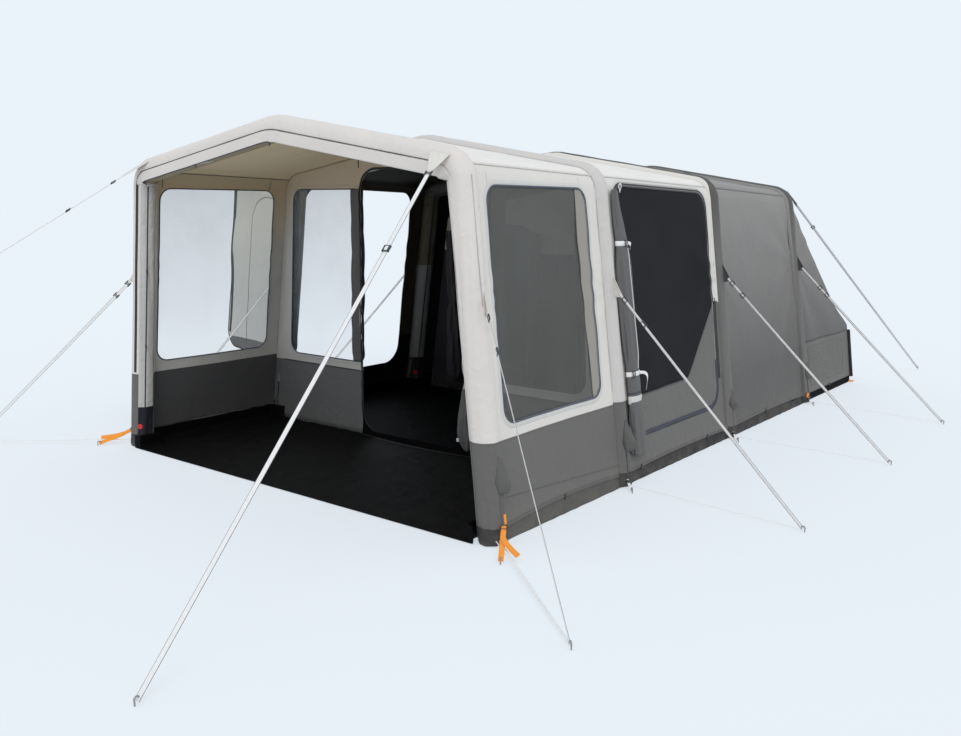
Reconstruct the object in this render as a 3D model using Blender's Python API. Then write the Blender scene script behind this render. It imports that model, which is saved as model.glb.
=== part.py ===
import math

import bmesh
import bpy
import numpy as np
from mathutils import Matrix, Vector

# Driving sizes, metres. X is across the tent, Y runs back from the front arch, Z is up.
foot_half_width = 1.60        # leg centre line at the ground, from the middle
leg_leans = (0.1175, 0.1325, 0.1325, 0.155)   # each arch's inward run per metre of height
leg_lean = leg_leans[1]
roof_pitch = 0.17             # fall of the roof per metre out from the ridge
bend_radius = 0.12            # shoulder bend of a beam's centre line
ridge_radius = 0.50           # soft bend of a beam at the ridge
bend_steps = 6
arch_places = (0.085, 1.40, 3.02, 4.69)       # centre of each arch along Y
ridge_heights = (2.167, 2.135, 2.100, 2.050)  # roof lines of each arch meet here
tent_length = 6.00            # front edge to the outside of the back wall

sleeve_radius = 0.075
sleeve_wall = 0.004
sleeve_sides = 12
beam_wall = 0.0015
valve_bore = 0.008            # air way at the beam's right foot
beam_foot = 0.006             # the beam stands this far up in its sleeve
gap = 0.0003                  # clearance between sewn or seated pieces
fabric_wall = 0.0025
film_wall = 0.0015            # window film and door mesh
door_wall = 0.0012
door_gap = 0.0009

hem_height = 0.07             # lower edge of the walls, top of the tray's rim
tray_floor = 0.004
tray_wall = fabric_wall
porch_front = -0.012          # front edge of the porch floor

# Openings in the walls: places along Y and heights
porch_window = dict(y0=0.220, y1=1.205, z0=0.600, z1=1.825, corner=0.085)
side_door_low = 0.275
side_door_high = 1.862
side_door_fall = 0.030        # the door's top falls this much towards the rear
side_door_front = 1.530
side_door_rears = {1: 2.868, -1: 2.785}       # right and left
side_door_top_corner = 0.12
side_door_hinge_corner = 0.03
side_door_hinge_ease = 0.02   # the door's own corners at its hinge are this much rounder
side_door_foot_corner = 0.16
partition_window = dict(foot_margin=0.146, head_margin=0.057, inner=0.610, z0=0.560, z1=1.835,
                        corner=0.085)   # margins in from the leg line
partition_window_inner_corner = 0.02
partition_door = dict(x0=-0.578, x1=0.420, z0=0.035, z1=1.975, corner=0.15)
left_door_open = 78.0         # degrees, as it stands

# Rear: a low wall all round and a fly that slopes down to it
low_wall_top = 0.525
rear_ridge = 0.640
rear_bend = 0.05
rear_pitch = 0.03
rear_sag = 0.42
rear_stations = 5

# Inner tent
inner_front = 3.100
inner_back = 5.780
inner_inset = 0.150
inner_ridge_drop = 0.075
inner_back_ridge = 0.520
inner_knee_place = 4.550
inner_floor_wall = 0.003
inner_doors = dict(x0=0.30, x1=1.05, z0=0.120, z1=1.55, corner=0.12)

# Rolled outer door, tied beside the side door
roll_front = 1.472
roll_rear = 1.642
roll_depth = 0.058
roll_low = 0.190
roll_high = 1.815
roll_folds = 5
roll_fold_depth = 0.15
roll_fold_twist = 1.7         # radians that the folds turn per metre up
roll_sides = 30
roll_stations = 15
inner_roll_width = 0.095      # the partition door, rolled to its right edge
inner_roll_depth = 0.070
inner_roll_low = 0.050
inner_roll_high = 1.900
strap_wall = 0.0015
strap_width = 0.030
strap_heights = (0.690, 1.500)
strap_pinch = 0.80            # share of the roll's depth left under a strap
strap_squeeze = 0.90          # share of its width left there
strap_fade = 0.12             # the roll is full again this far from a strap

# Valance under the front arch
valance_drop = 0.028
valance_wall = 0.002

# Valve caps, zip pulls
cap_radius = 0.021
cap_depth = 0.012
cap_taper = 0.85
cap_height = 0.16
cap_facet = 135.0             # degrees round the sleeve from its outer side to the front
pull_size = (0.010, 0.008, 0.030)
front_pull_height = 1.300
front_pull_place = 0.190
door_pull_height = 1.050
door_pull_place = 2.897

# Guy lines: webbing with a sewn gusset, an adjuster and a ground peg
guy_wall = 0.002
guy_seat = 0.0008
corner_guy_seat = 0.0016
guy_width = 0.014
corner_guy_width = 0.025
gusset_half = 0.075
gusset_share = 0.085          # share of the line that the gusset takes
mid_guy_height = 1.245
peg_side = 0.012
peg_height = 0.030
slider_length = 0.038
slider_rim = 0.006
slider_depth = 0.009
slider_place = 0.16           # from the gusset's tip down the line
corner_slider_place = 0.42
peg_rim = 0.003               # the peg's head stands out this far round its line
rear_guy_step = 2             # bend point that the rear guys start from
rear_guy_turn = 30.0          # degrees round the sleeve, towards the back
corner_guy_turn = -60.0

# Straps at the front feet
foot_strap_height = 0.11
foot_strap_width = 0.024
foot_peg_out = 0.14           # the peg stands this far out of the sleeve
foot_peg_forward = 0.215      # and this far in front of the arch
foot_peg_rim = 0.009

part_collection = "tunnel_awning"
cutter_collection = "cutters"


# scene

def clear_scene():
    for item in list(bpy.data.objects):
        bpy.data.objects.remove(item, do_unlink=True)


def make_collections():
    for name in (part_collection, cutter_collection):
        group = bpy.data.collections.new(name)
        bpy.context.scene.collection.children.link(group)


def paint(name, colour, roughness, metallic=0.0):
    material = bpy.data.materials.new(name)
    material.use_nodes = True
    shader = material.node_tree.nodes["Principled BSDF"]
    shader.inputs["Base Color"].default_value = (*colour, 1.0)
    shader.inputs["Roughness"].default_value = roughness
    shader.inputs["Metallic"].default_value = metallic
    return material


def add_part(name, mesh, look, place=None, parent=None, smooth=False):
    part = bpy.data.objects.new(name, mesh)
    mesh.materials.clear()
    mesh.materials.append(paint(name, *look))
    bpy.data.collections[part_collection].objects.link(part)
    if parent is not None:
        part.parent = parent
    if place is not None:
        part.matrix_local = place
    if smooth:
        mesh.shade_smooth()
    return part


def add_empty(name, place):
    empty = bpy.data.objects.new(name, None)
    empty.empty_display_size = 0.1
    bpy.data.collections[part_collection].objects.link(empty)
    empty.matrix_world = place
    return empty


def closed_mesh(name, points, faces):
    mesh = bpy.data.meshes.new(name)
    mesh.from_pydata([tuple(point) for point in points], [], faces)
    shape = bmesh.new()
    shape.from_mesh(mesh)
    bmesh.ops.recalc_face_normals(shape, faces=shape.faces)
    if shape.calc_volume(signed=True) < 0:
        bmesh.ops.reverse_faces(shape, faces=shape.faces)
    shape.to_mesh(mesh)
    shape.free()
    return mesh


def box_mesh(name, low, high):
    shape = bmesh.new()
    bmesh.ops.create_cube(shape, size=1.0)
    size = [high[axis] - low[axis] for axis in range(3)]
    middle = [(high[axis] + low[axis]) / 2 for axis in range(3)]
    bmesh.ops.scale(shape, vec=size, verts=shape.verts)
    bmesh.ops.translate(shape, vec=middle, verts=shape.verts)
    mesh = bpy.data.meshes.new(name)
    shape.to_mesh(mesh)
    shape.free()
    return mesh


# Runs one Boolean between two meshes and returns the new mesh.
def combine(mesh, tool_mesh, operation, name):
    body = bpy.data.objects.new(name + "_body", mesh)
    tool = bpy.data.objects.new(name + "_cutter", tool_mesh)
    for item in (body, tool):
        bpy.data.collections[cutter_collection].objects.link(item)
        item.hide_render = True
        item.display_type = "WIRE"
    step = body.modifiers.new("cut", "BOOLEAN")
    step.solver = "EXACT"
    step.operation = operation
    step.object = tool
    bpy.context.view_layer.update()
    graph = bpy.context.evaluated_depsgraph_get()
    result = bpy.data.meshes.new_from_object(body.evaluated_get(graph))
    result.name = name
    bpy.data.objects.remove(body, do_unlink=True)
    bpy.data.objects.remove(tool, do_unlink=True)
    return result


# Arch lines

# A shape is the lean of the legs, the roof lines' height at the ridge, the
# shoulder bend and the roof's pitch.
def arch_shape(arch):
    return leg_leans[arch], ridge_heights[arch], bend_radius, roof_pitch


# One half of an arch from the foot to the ridge. Each point is (x, z, nx, nz),
# its place and the outward direction there. The leg is x = foot - lean * z and
# the roof is z = ridge - pitch * x, joined by arcs.
def half_arch(shape, base):
    lean, ridge, bend, pitch = shape
    slant = math.hypot(1.0, lean)
    leg_out = Vector((1.0 / slant, lean / slant))
    span = math.hypot(1.0, pitch)
    roof_out = Vector((pitch / span, 1.0 / span))
    corner_z = (ridge - pitch * foot_half_width) / (1.0 - pitch * lean)
    corner = Vector((foot_half_width - lean * corner_z, corner_z))
    centre = corner - (leg_out + roof_out) * bend / (1.0 + leg_out.dot(roof_out))
    line = [(foot_half_width - lean * base, base, slant, 0.0)]
    start = math.atan2(leg_out.y, leg_out.x)
    stop = math.atan2(roof_out.y, roof_out.x)
    for step in range(bend_steps + 1):
        turn = start + (stop - start) * step / bend_steps
        nx = math.cos(turn)
        nz = math.sin(turn)
        line.append((centre.x + bend * nx, centre.y + bend * nz, nx, nz))
    top = ridge - ridge_radius * span
    line.append((ridge_radius * roof_out.x, top + ridge_radius * roof_out.y, *roof_out))
    line.append((0.0, top + ridge_radius, 0.0, 1.0))
    return line


def mirrored(line):
    return [(-x, z, -nx, nz) for x, z, nx, nz in line]


def whole_arch(shape, base):
    half = half_arch(shape, base)
    return half + mirrored(half)[-2::-1]


seam_index = 1 + bend_steps // 2


def wall_line(shape, base):
    line = half_arch(shape, base)[:seam_index + 1]
    x, z, nx, nz = line[-1]
    line[-1] = (x + nz * gap, z - nx * gap, nx, nz)
    return line


def roof_line(shape):
    half = half_arch(shape, 0.0)[seam_index:]
    return half + mirrored(half)[-2::-1]


panel_inner = sleeve_radius * 0.5
panel_outer = panel_inner + fabric_wall
sleeve_reach = sleeve_radius * math.sin(math.radians(60.0)) + gap


def offset_points(line, out, y):
    return [(x + nx * out, y, z + nz * out) for x, z, nx, nz in line]


# A slab lofted through stations (line, y) between two offsets of the line.
def loft_slab(name, stations, low, high):
    points = []
    for line, y in stations:
        points += offset_points(line, low, y)
        points += offset_points(line, high, y)
    count = len(stations[0][0])
    faces = []
    for row in range(len(stations) - 1):
        inner = row * 2 * count
        outer = inner + count
        inner_next = inner + 2 * count
        outer_next = outer + 2 * count
        for step in range(count - 1):
            for row_here, row_next in ((inner, inner_next), (outer, outer_next)):
                faces.append((row_here + step, row_here + step + 1, row_next + step))
                faces.append((row_here + step + 1, row_next + step + 1, row_next + step))
        edge = count - 1
        for low_row, low_next, high_row, high_next in (
                (inner, inner_next, outer, outer_next),
                (outer + edge, outer_next + edge, inner + edge, inner_next + edge)):
            faces.append((low_row, low_next, high_row))
            faces.append((low_next, high_next, high_row))
    last = (len(stations) - 1) * 2 * count
    for step in range(count - 1):
        faces.append((step, count + step, count + step + 1, step + 1))
        faces.append((last + step, last + step + 1, last + count + step + 1, last + count + step))
    return closed_mesh(name, points, faces)


# An outline with rounded corners; corners are (a, b, radius) in order.
def rounded_outline(corners, steps=4):
    outline = []
    total = len(corners)
    for index, (a, b, radius) in enumerate(corners):
        here = Vector((a, b))
        before = (Vector(corners[index - 1][:2]) - here).normalized()
        after = (Vector(corners[(index + 1) % total][:2]) - here).normalized()
        half = before.angle(after) / 2
        reach = radius / math.tan(half)
        start = here + before * reach
        stop = here + after * reach
        middle = here + (before + after).normalized() * radius / math.sin(half)
        first = start - middle
        turn = first.angle_signed(stop - middle)
        for step in range(steps + 1):
            spin = -turn * step / steps
            outline.append(middle + Matrix.Rotation(spin, 2) @ first)
    return outline


def inset_box(low_a, high_a, low_b, high_b, corner, inset):
    radius = corner - inset
    return rounded_outline([
        (low_a + inset, low_b + inset, radius), (high_a - inset, low_b + inset, radius),
        (high_a - inset, high_b - inset, radius), (low_a + inset, high_b - inset, radius)])


# A prism from an outline in (y, z), run along X, or in (x, z), run along Y.
def prism_mesh(name, outline, along, low, high):
    count = len(outline)
    points = []
    for depth in (low, high):
        for a, b in outline:
            points.append((depth, a, b) if along == "x" else (a, depth, b))
    faces = [tuple(range(count)), tuple(range(2 * count - 1, count - 1, -1))]
    for step in range(count):
        after = (step + 1) % count
        faces.append((step, count + step, count + after, after))
    return closed_mesh(name, points, faces)


def side_prism(name, outline, side):
    ends = sorted((side * 1.0, side * 2.0))
    return prism_mesh(name, outline, "x", *ends)


# Looks: base colour and roughness of each cloth
light_cloth = ((0.62, 0.60, 0.57), 0.75)
grey_cloth = ((0.13, 0.125, 0.12), 0.8)
dark_cloth = ((0.05, 0.05, 0.05), 0.8)
black_sheet = ((0.008, 0.008, 0.008), 0.6)
mesh_cloth = ((0.02, 0.018, 0.022), 0.9)
clear_film = ((0.25, 0.25, 0.24), 0.2)
webbing = ((0.7, 0.7, 0.72), 0.7)
buckle_plastic = ((0.03, 0.032, 0.035), 0.4)
red_plastic = ((0.6, 0.03, 0.03), 0.4)
orange_webbing = ((1.0, 0.30, 0.03), 0.6)
beam_film = ((0.5, 0.5, 0.5), 0.4)
beige_cloth = ((0.30, 0.27, 0.21), 0.8)


# Air beams and their sleeves

# The ring of a tube round the arch line at one point. Angle 0 is outward,
# 90 degrees is along Y.
def tube_ring(point, y, radius):
    x, z, nx, nz = point
    ring = []
    for side in range(sleeve_sides):
        turn = 2 * math.pi * side / sleeve_sides
        out = radius * math.cos(turn)
        ring.append((x + nx * out, y + radius * math.sin(turn), z + nz * out))
    return ring


def bridge_rings(first, second, faces):
    for side in range(sleeve_sides):
        after = (side + 1) % sleeve_sides
        faces.append((first + side, first + after, second + after, second + side))


def sleeve_mesh(name, line, y):
    points = []
    faces = []
    total = len(line)
    for radius in (sleeve_radius, sleeve_radius - sleeve_wall):
        for point in line:
            points += tube_ring(point, y, radius)
    for row in range(total - 1):
        bridge_rings(row * sleeve_sides, (row + 1) * sleeve_sides, faces)
        inner = (total + row) * sleeve_sides
        bridge_rings(inner + sleeve_sides, inner, faces)
    bridge_rings(total * sleeve_sides, 0, faces)
    bridge_rings((total - 1) * sleeve_sides, (2 * total - 1) * sleeve_sides, faces)
    return closed_mesh(name, points, faces)


# The beam is a closed skin with one air way in its right foot.
def beam_mesh(name, line, y):
    outer_radius = sleeve_radius - sleeve_wall - gap
    points = []
    faces = []
    total = len(line)
    foot = line[0]
    inner_line = list(line)
    rise = beam_wall / math.hypot(1.0, leg_lean)
    inner_line[0] = (foot[0] - leg_lean * rise, foot[1] + rise, foot[2], foot[3])
    head = line[-1]
    inner_line[-1] = (head[0] + leg_lean * rise, head[1] + rise, head[2], head[3])
    for point in line:
        points += tube_ring(point, y, outer_radius)
    for point in inner_line:
        points += tube_ring(point, y, outer_radius - beam_wall)
    points += tube_ring(line[0], y, valve_bore)
    points += tube_ring(inner_line[0], y, valve_bore)
    for row in range(total - 1):
        bridge_rings(row * sleeve_sides, (row + 1) * sleeve_sides, faces)
        inner = (total + row) * sleeve_sides
        bridge_rings(inner + sleeve_sides, inner, faces)
    outer_hole = 2 * total * sleeve_sides
    inner_hole = outer_hole + sleeve_sides
    bridge_rings(outer_hole, 0, faces)
    bridge_rings(total * sleeve_sides, inner_hole, faces)
    bridge_rings(inner_hole, outer_hole, faces)
    outer_end = (total - 1) * sleeve_sides
    inner_end = (2 * total - 1) * sleeve_sides
    faces.append(tuple(range(outer_end, outer_end + sleeve_sides)))
    faces.append(tuple(range(inner_end + sleeve_sides - 1, inner_end - 1, -1)))
    return closed_mesh(name, points, faces)


def add_arches():
    for index, y in enumerate(arch_places, 1):
        shape = arch_shape(index - 1)
        line = whole_arch(shape, 0.0)
        look = light_cloth if index < 3 else grey_cloth
        mesh = sleeve_mesh(f"sleeve_{index}", line, y)
        add_part(f"sleeve_{index}", mesh, look, smooth=True)
        inside = whole_arch(shape, beam_foot)
        mesh = beam_mesh(f"air_beam_{index}", inside, y)
        add_part(f"air_beam_{index}", mesh, beam_film, smooth=True)


# Fly panels

def bay_ends(bay):
    return arch_places[bay] + sleeve_reach, arch_places[bay + 1] - sleeve_reach


def wall_stations(bay, side):
    start, stop = bay_ends(bay)
    stations = []
    for arch, y in ((bay, start), (bay + 1, stop)):
        line = wall_line(arch_shape(arch), hem_height + gap)
        if side < 0:
            line = mirrored(line)
        stations.append((line, y))
    return stations


def wall_mesh(name, bay, side):
    return loft_slab(name, wall_stations(bay, side), panel_inner, panel_outer)


def roof_mesh(name, bay):
    start, stop = bay_ends(bay)
    stations = []
    for arch, y in ((bay, start), (bay + 1, stop)):
        stations.append((roof_line(arch_shape(arch)), y))
    return loft_slab(name, stations, panel_inner, panel_outer)


def window_outline(inset):
    w = porch_window
    return inset_box(w["y0"], w["y1"], w["z0"], w["z1"], w["corner"], inset)


def door_outline(side, inset):
    top_rear = side_door_high - side_door_fall
    low = side_door_low + inset
    front = side_door_front + inset
    rear = side_door_rears[side] - inset
    ease = side_door_hinge_ease if inset else 0.0
    return rounded_outline([
        (front, low, side_door_hinge_corner + ease), (rear, low, side_door_foot_corner - inset),
        (rear, top_rear - inset, side_door_top_corner - inset),
        (front, side_door_high - inset, side_door_top_corner + ease)])


def film_in_wall(name, bay, side, outline, thickness):
    middle = (panel_inner + panel_outer) / 2
    low = middle - thickness / 2
    slab = loft_slab(name, wall_stations(bay, side), low, low + thickness)
    return combine(slab, side_prism(name, outline, side), "INTERSECT", name)


def add_fly():
    for bay, (bay_name, look) in enumerate((("porch", light_cloth), ("living", light_cloth),
                                            ("bedroom", grey_cloth))):
        mesh = roof_mesh(f"{bay_name}_roof", bay)
        add_part(f"{bay_name}_roof", mesh, look)
        for side, side_name in ((1, "right"), (-1, "left")):
            name = f"{bay_name}_wall_{side_name}"
            mesh = wall_mesh(name, bay, side)
            if bay == 0:
                mesh = combine(mesh, side_prism(name, window_outline(0.0), side), "DIFFERENCE", name)
            if bay == 1:
                mesh = combine(mesh, side_prism(name, door_outline(side, 0.0), side), "DIFFERENCE", name)
            add_part(name, mesh, look)
    for side, side_name in ((1, "right"), (-1, "left")):
        name = f"porch_window_{side_name}"
        mesh = film_in_wall(name, 0, side, window_outline(gap), film_wall)
        add_part(name, mesh, clear_film)


# Rear

def rear_station(share):
    start = arch_places[3] + sleeve_reach
    y = start + (tent_length - fabric_wall - gap - start) * share
    ridge = ridge_heights[3] + (rear_ridge - ridge_heights[3]) * share
    ridge -= rear_sag * share * (1.0 - share)
    bend = bend_radius + (rear_bend - bend_radius) * share
    pitch = roof_pitch + (rear_pitch - roof_pitch) * share
    return whole_arch((rear_lean(share), ridge, bend, pitch), low_wall_top + gap), y


def rear_lean(share):
    return leg_leans[3] + (leg_lean - leg_leans[3]) * share


def low_wall_line(side, share):
    lean = rear_lean(share)
    line = [(foot_half_width - lean * z, z, math.hypot(1.0, lean), 0.0)
            for z in (hem_height + gap, low_wall_top)]
    return mirrored(line) if side < 0 else line


# The back wall fills the space under the fly's last station, to the middle of its skin.
def back_wall_mesh(name):
    line, y = rear_station(1.0)
    lower = [(foot_half_width - leg_lean * (hem_height + gap), hem_height + gap,
              math.hypot(1.0, leg_lean), 0.0)]
    outline = lower + line + mirrored(lower)
    points = []
    for depth in (tent_length - fabric_wall, tent_length):
        points += offset_points(outline, (panel_inner + panel_outer) / 2, depth)
    count = len(outline)
    faces = [tuple(range(count)), tuple(range(2 * count - 1, count - 1, -1))]
    for step in range(count):
        after = (step + 1) % count
        faces.append((step, count + step, count + after, after))
    return closed_mesh(name, points, faces)


def add_rear():
    stations = [rear_station(step / (rear_stations - 1)) for step in range(rear_stations)]
    mesh = loft_slab("rear_fly", stations, panel_inner, panel_outer)
    add_part("rear_fly", mesh, grey_cloth)
    name = "rear_low_wall"
    mesh = back_wall_mesh(name)
    start = arch_places[3] + sleeve_reach
    stop = tent_length - fabric_wall / 2
    for side in (1, -1):
        stations = [(low_wall_line(side, 0.0), start), (low_wall_line(side, 1.0), stop)]
        band = loft_slab(name, stations, panel_inner, panel_outer)
        mesh = combine(mesh, band, "UNION", name)
    add_part(name, mesh, grey_cloth)


# Partition in front of the second arch, between the fly's inner faces

def foot_inside():
    lean = max(leg_leans)
    inside = foot_half_width - sleeve_radius * math.hypot(1.0, lean)
    return inside - lean * hem_height - 2 * gap


def partition_place():
    return arch_places[1] - sleeve_radius - gap - fabric_wall / 2


# The sheet stands on the tray's floor, and over the rim that goes round each foot.
def partition_outline():
    out = panel_inner - gap
    line = whole_arch(arch_shape(1), hem_height + gap)
    outline = [(x + nx * out, z + nz * out) for x, z, nx, nz in line]
    edge = foot_inside() - tray_wall - gap
    low = tray_floor + gap
    return ([(edge, low), (edge, hem_height + gap)] + outline
            + [(-edge, hem_height + gap), (-edge, low)])


def partition_window_outline(side, inset):
    w = partition_window
    round_outer = w["corner"] - inset
    round_inner = partition_window_inner_corner
    foot = foot_half_width - leg_lean * w["z0"] - w["foot_margin"]
    head = foot_half_width - leg_lean * w["z1"] - w["head_margin"]
    corners = [
        (foot - inset, w["z0"] + inset, round_outer),
        (w["inner"] + inset, w["z0"] + inset, round_inner),
        (w["inner"] + inset, w["z1"] - inset, round_inner),
        (head - inset, w["z1"] - inset, round_outer)]
    return rounded_outline([(side * x, z, radius) for x, z, radius in corners])


def add_partition():
    y = partition_place()
    half = fabric_wall / 2
    name = "partition_wall"
    mesh = prism_mesh(name, partition_outline(), "y", y - half, y + half)
    d = partition_door
    doorway = inset_box(d["x0"], d["x1"], d["z0"], d["z1"], d["corner"], 0.0)
    windows = [partition_window_outline(side, 0.0) for side in (1, -1)]
    for cut in (*windows, doorway):
        tool = prism_mesh(name, cut, "y", y - 0.1, y + 0.1)
        mesh = combine(mesh, tool, "DIFFERENCE", name)
    add_part(name, mesh, light_cloth)
    half = film_wall / 2
    for side, side_name in ((1, "right"), (-1, "left")):
        name = f"partition_window_{side_name}"
        mesh = prism_mesh(name, partition_window_outline(side, gap), "y", y - half, y + half)
        add_part(name, mesh, clear_film)


# Side doors

def leg_point(z, out, side, lean=leg_lean):
    slant = math.hypot(1.0, lean)
    x = foot_half_width - lean * z + out * slant
    return Vector((side * x, 0.0, z))


def leg_frame(origin, side, lean=leg_lean):
    up = Vector((-side * lean, 0.0, 1.0)).normalized()
    back = Vector((0.0, 1.0, 0.0))
    out = back.cross(up)
    frame = Matrix((out, back, up)).transposed().to_4x4()
    frame.translation = origin
    return frame


def hinge_frame(side):
    middle = (panel_inner + panel_outer) / 2
    origin = leg_point(side_door_low, middle, side)
    origin.y = side_door_front + door_gap
    return leg_frame(origin, side)


def add_side_doors():
    for side, name, look, swing in ((1, "side_door_mesh", mesh_cloth, 0.0),
                                    (-1, "left_door_panel", light_cloth, left_door_open)):
        mesh = film_in_wall(name, 1, side, door_outline(side, door_gap), door_wall)
        frame = hinge_frame(side)
        mesh.transform(frame.inverted())
        turned = frame @ Matrix.Rotation(math.radians(swing), 4, "Z")
        pivot = add_empty(name + "_hinge", turned)
        add_part(name, mesh, look, Matrix.Identity(4), pivot)


# Rolled doors and their ties

# One section of a roll: an oval with soft folds, plainer and thinner at a tie.
# Each point is a place along the sheet and a distance out from it.
def roll_section(z, middle, half_width, half_depth, ties, extra, folded):
    near = min([abs(z - height) for height in ties] + [1.0])
    free = min(1.0, max(0.0, (near - strap_width) / strap_fade))
    depth = half_depth * (strap_pinch + (1.0 - strap_pinch) * free)
    width = half_width * (strap_squeeze + (1.0 - strap_squeeze) * free)
    ring = []
    for side in range(roll_sides):
        turn = 2 * math.pi * side / roll_sides
        fold = math.cos(roll_folds * turn + roll_fold_twist * z)
        wave = roll_fold_depth * free * folded * (fold - 1.0) / 2
        a = (width * (1.0 + wave) + extra) * math.cos(turn)
        b = (depth * (1.0 + wave) + extra) * math.sin(turn)
        ring.append((middle[0] + a, middle[1] + b))
    return ring


def stacked_mesh(name, rings):
    points = [point for ring in rings for point in ring]
    faces = [tuple(range(roll_sides)),
             tuple(range(len(points) - 1, len(points) - roll_sides - 1, -1))]
    for row in range(len(rings) - 1):
        for step in range(roll_sides):
            after = (step + 1) % roll_sides
            low = row * roll_sides
            high = low + roll_sides
            faces.append((low + step, low + after, high + after, high + step))
    return closed_mesh(name, points, faces)


def side_ring(z, extra, folded):
    middle = ((roll_front + roll_rear) / 2, panel_outer + gap + roll_depth / 2)
    section = roll_section(z, middle, (roll_rear - roll_front) / 2, roll_depth / 2,
                           strap_heights, extra, folded)
    ring = []
    for y, out in section:
        point = leg_point(z, out, 1)
        ring.append((point.x, y, point.z))
    return ring


def inner_ring(z):
    middle = (partition_door["x1"] + inner_roll_width / 2 + gap, inner_roll_depth / 2 + gap)
    front = partition_place() - fabric_wall / 2
    section = roll_section(z, middle, inner_roll_width / 2, inner_roll_depth / 2, (), 0.0, 1.0)
    return [(x, front - out, z) for x, out in section]


def spread(low, high, count):
    return [low + (high - low) * step / (count - 1) for step in range(count)]


def roll_heights():
    heights = spread(roll_low, roll_high, roll_stations)
    for height in strap_heights:
        heights = [z for z in heights if abs(z - height) > 1.5 * strap_width]
        heights += [height - strap_width, height + strap_width]
    return sorted(heights)


def strap_mesh(name, height):
    points = []
    faces = []
    for extra in (gap, gap + strap_wall):
        for z in (height - strap_width / 2, height + strap_width / 2):
            points += side_ring(z, extra, 0.0)
    inner, inner_top, outer, outer_top = (row * roll_sides for row in range(4))
    for step in range(roll_sides):
        after = (step + 1) % roll_sides
        faces.append((inner + step, inner_top + step, inner_top + after, inner + after))
        faces.append((outer + step, outer + after, outer_top + after, outer_top + step))
        faces.append((inner + step, inner + after, outer + after, outer + step))
        faces.append((inner_top + step, outer_top + step, outer_top + after, inner_top + after))
    return closed_mesh(name, points, faces)


def add_rolls():
    rings = [side_ring(z, 0.0, 1.0) for z in roll_heights()]
    add_part("side_door_roll", stacked_mesh("side_door_roll", rings), grey_cloth, smooth=True)
    for name, height in zip(("roll_strap_lower", "roll_strap_upper"), strap_heights):
        add_part(name, strap_mesh(name, height), webbing, smooth=True)
    rings = [inner_ring(z) for z in spread(inner_roll_low, inner_roll_high, 9)]
    mesh = stacked_mesh("partition_door_roll", rings)
    add_part("partition_door_roll", mesh, grey_cloth, smooth=True)


# Groundsheets with an upstanding rim under each wall

def rim_half_width(out):
    return leg_point(hem_height, out, 1).x


def foot_boxes(places, pad):
    outer = rim_half_width(panel_outer)
    inside = foot_inside()
    boxes = []
    for y in places:
        for side in (1, -1):
            ends = sorted((side * (inside - pad), side * (outer + 0.1)))
            reach = sleeve_radius + gap + pad
            boxes.append((ends, y - reach, y + reach))
    return boxes


def tray_mesh(name, front, back, places, front_rim, back_rim):
    outer = rim_half_width(panel_outer)
    mesh = box_mesh(name, (-outer, front, 0.0), (outer, back, hem_height))
    inside = outer - tray_wall
    low = (-inside, front + tray_wall if front_rim else front - 0.1, tray_floor)
    high = (inside, back - tray_wall if back_rim else back + 0.1, hem_height + 0.1)
    hollow = box_mesh(name, low, high)
    for ends, start, stop in foot_boxes(places, tray_wall):
        post = box_mesh(name, (ends[0], start, -0.1), (ends[1], stop, hem_height + 0.2))
        hollow = combine(hollow, post, "DIFFERENCE", name)
    mesh = combine(mesh, hollow, "DIFFERENCE", name)
    for ends, start, stop in foot_boxes(places, 0.0):
        notch = box_mesh(name, (ends[0], start, -0.1), (ends[1], stop, hem_height + 0.2))
        mesh = combine(mesh, notch, "DIFFERENCE", name)
    return mesh


def add_groundsheets():
    join = arch_places[1] - sleeve_radius - gap - tray_wall
    mesh = tray_mesh("porch_groundsheet", porch_front, join - gap, (arch_places[0],), False, False)
    add_part("porch_groundsheet", mesh, black_sheet)
    mesh = tray_mesh("living_groundsheet", join, tent_length, arch_places[1:], False, True)
    add_part("living_groundsheet", mesh, black_sheet)


# Inner tent

def inner_line(ridge, base):
    line = half_arch((leg_lean, ridge, bend_radius + inner_inset, roof_pitch), base)
    inset = [(x - nx * inner_inset, z, nx, nz) for x, z, nx, nz in line[:1]]
    inset += [(x - nx * inner_inset, z - nz * inner_inset, nx, nz) for x, z, nx, nz in line[1:]]
    return inset + mirrored(inset)[-2::-1]


def add_inner_tent():
    base = tray_floor + gap + inner_floor_wall + gap
    ridge = ridge_heights[2] - inner_ridge_drop
    knee = ridge_heights[3] - inner_ridge_drop
    canopy = [(inner_line(ridge, base), inner_front + fabric_wall + gap),
              (inner_line(knee, base), inner_knee_place),
              (inner_line(inner_back_ridge, base), inner_back)]
    mesh = loft_slab("inner_tent_canopy", canopy, -fabric_wall, 0.0)
    add_part("inner_tent_canopy", mesh, beige_cloth)
    name = "inner_tent_front"
    outline = [(x, z) for x, z, nx, nz in inner_line(ridge, base)]
    mesh = prism_mesh(name, outline, "y", inner_front, inner_front + fabric_wall)
    for side in (1, -1):
        d = inner_doors
        low, high = sorted((side * d["x0"], side * d["x1"]))
        cut = inset_box(low, high, d["z0"], d["z1"], d["corner"], 0.0)
        tool = prism_mesh(name, cut, "y", inner_front - 0.1, inner_front + 0.1)
        mesh = combine(mesh, tool, "DIFFERENCE", name)
    add_part(name, mesh, beige_cloth)
    half = inner_line(ridge, base)[0][0]
    low_z = tray_floor + gap
    mesh = box_mesh("inner_tent_floor", (-half, inner_front, low_z),
                    (half, inner_back, low_z + inner_floor_wall))
    add_part("inner_tent_floor", mesh, dark_cloth)


# Valance, valve caps and zip pulls

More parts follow.
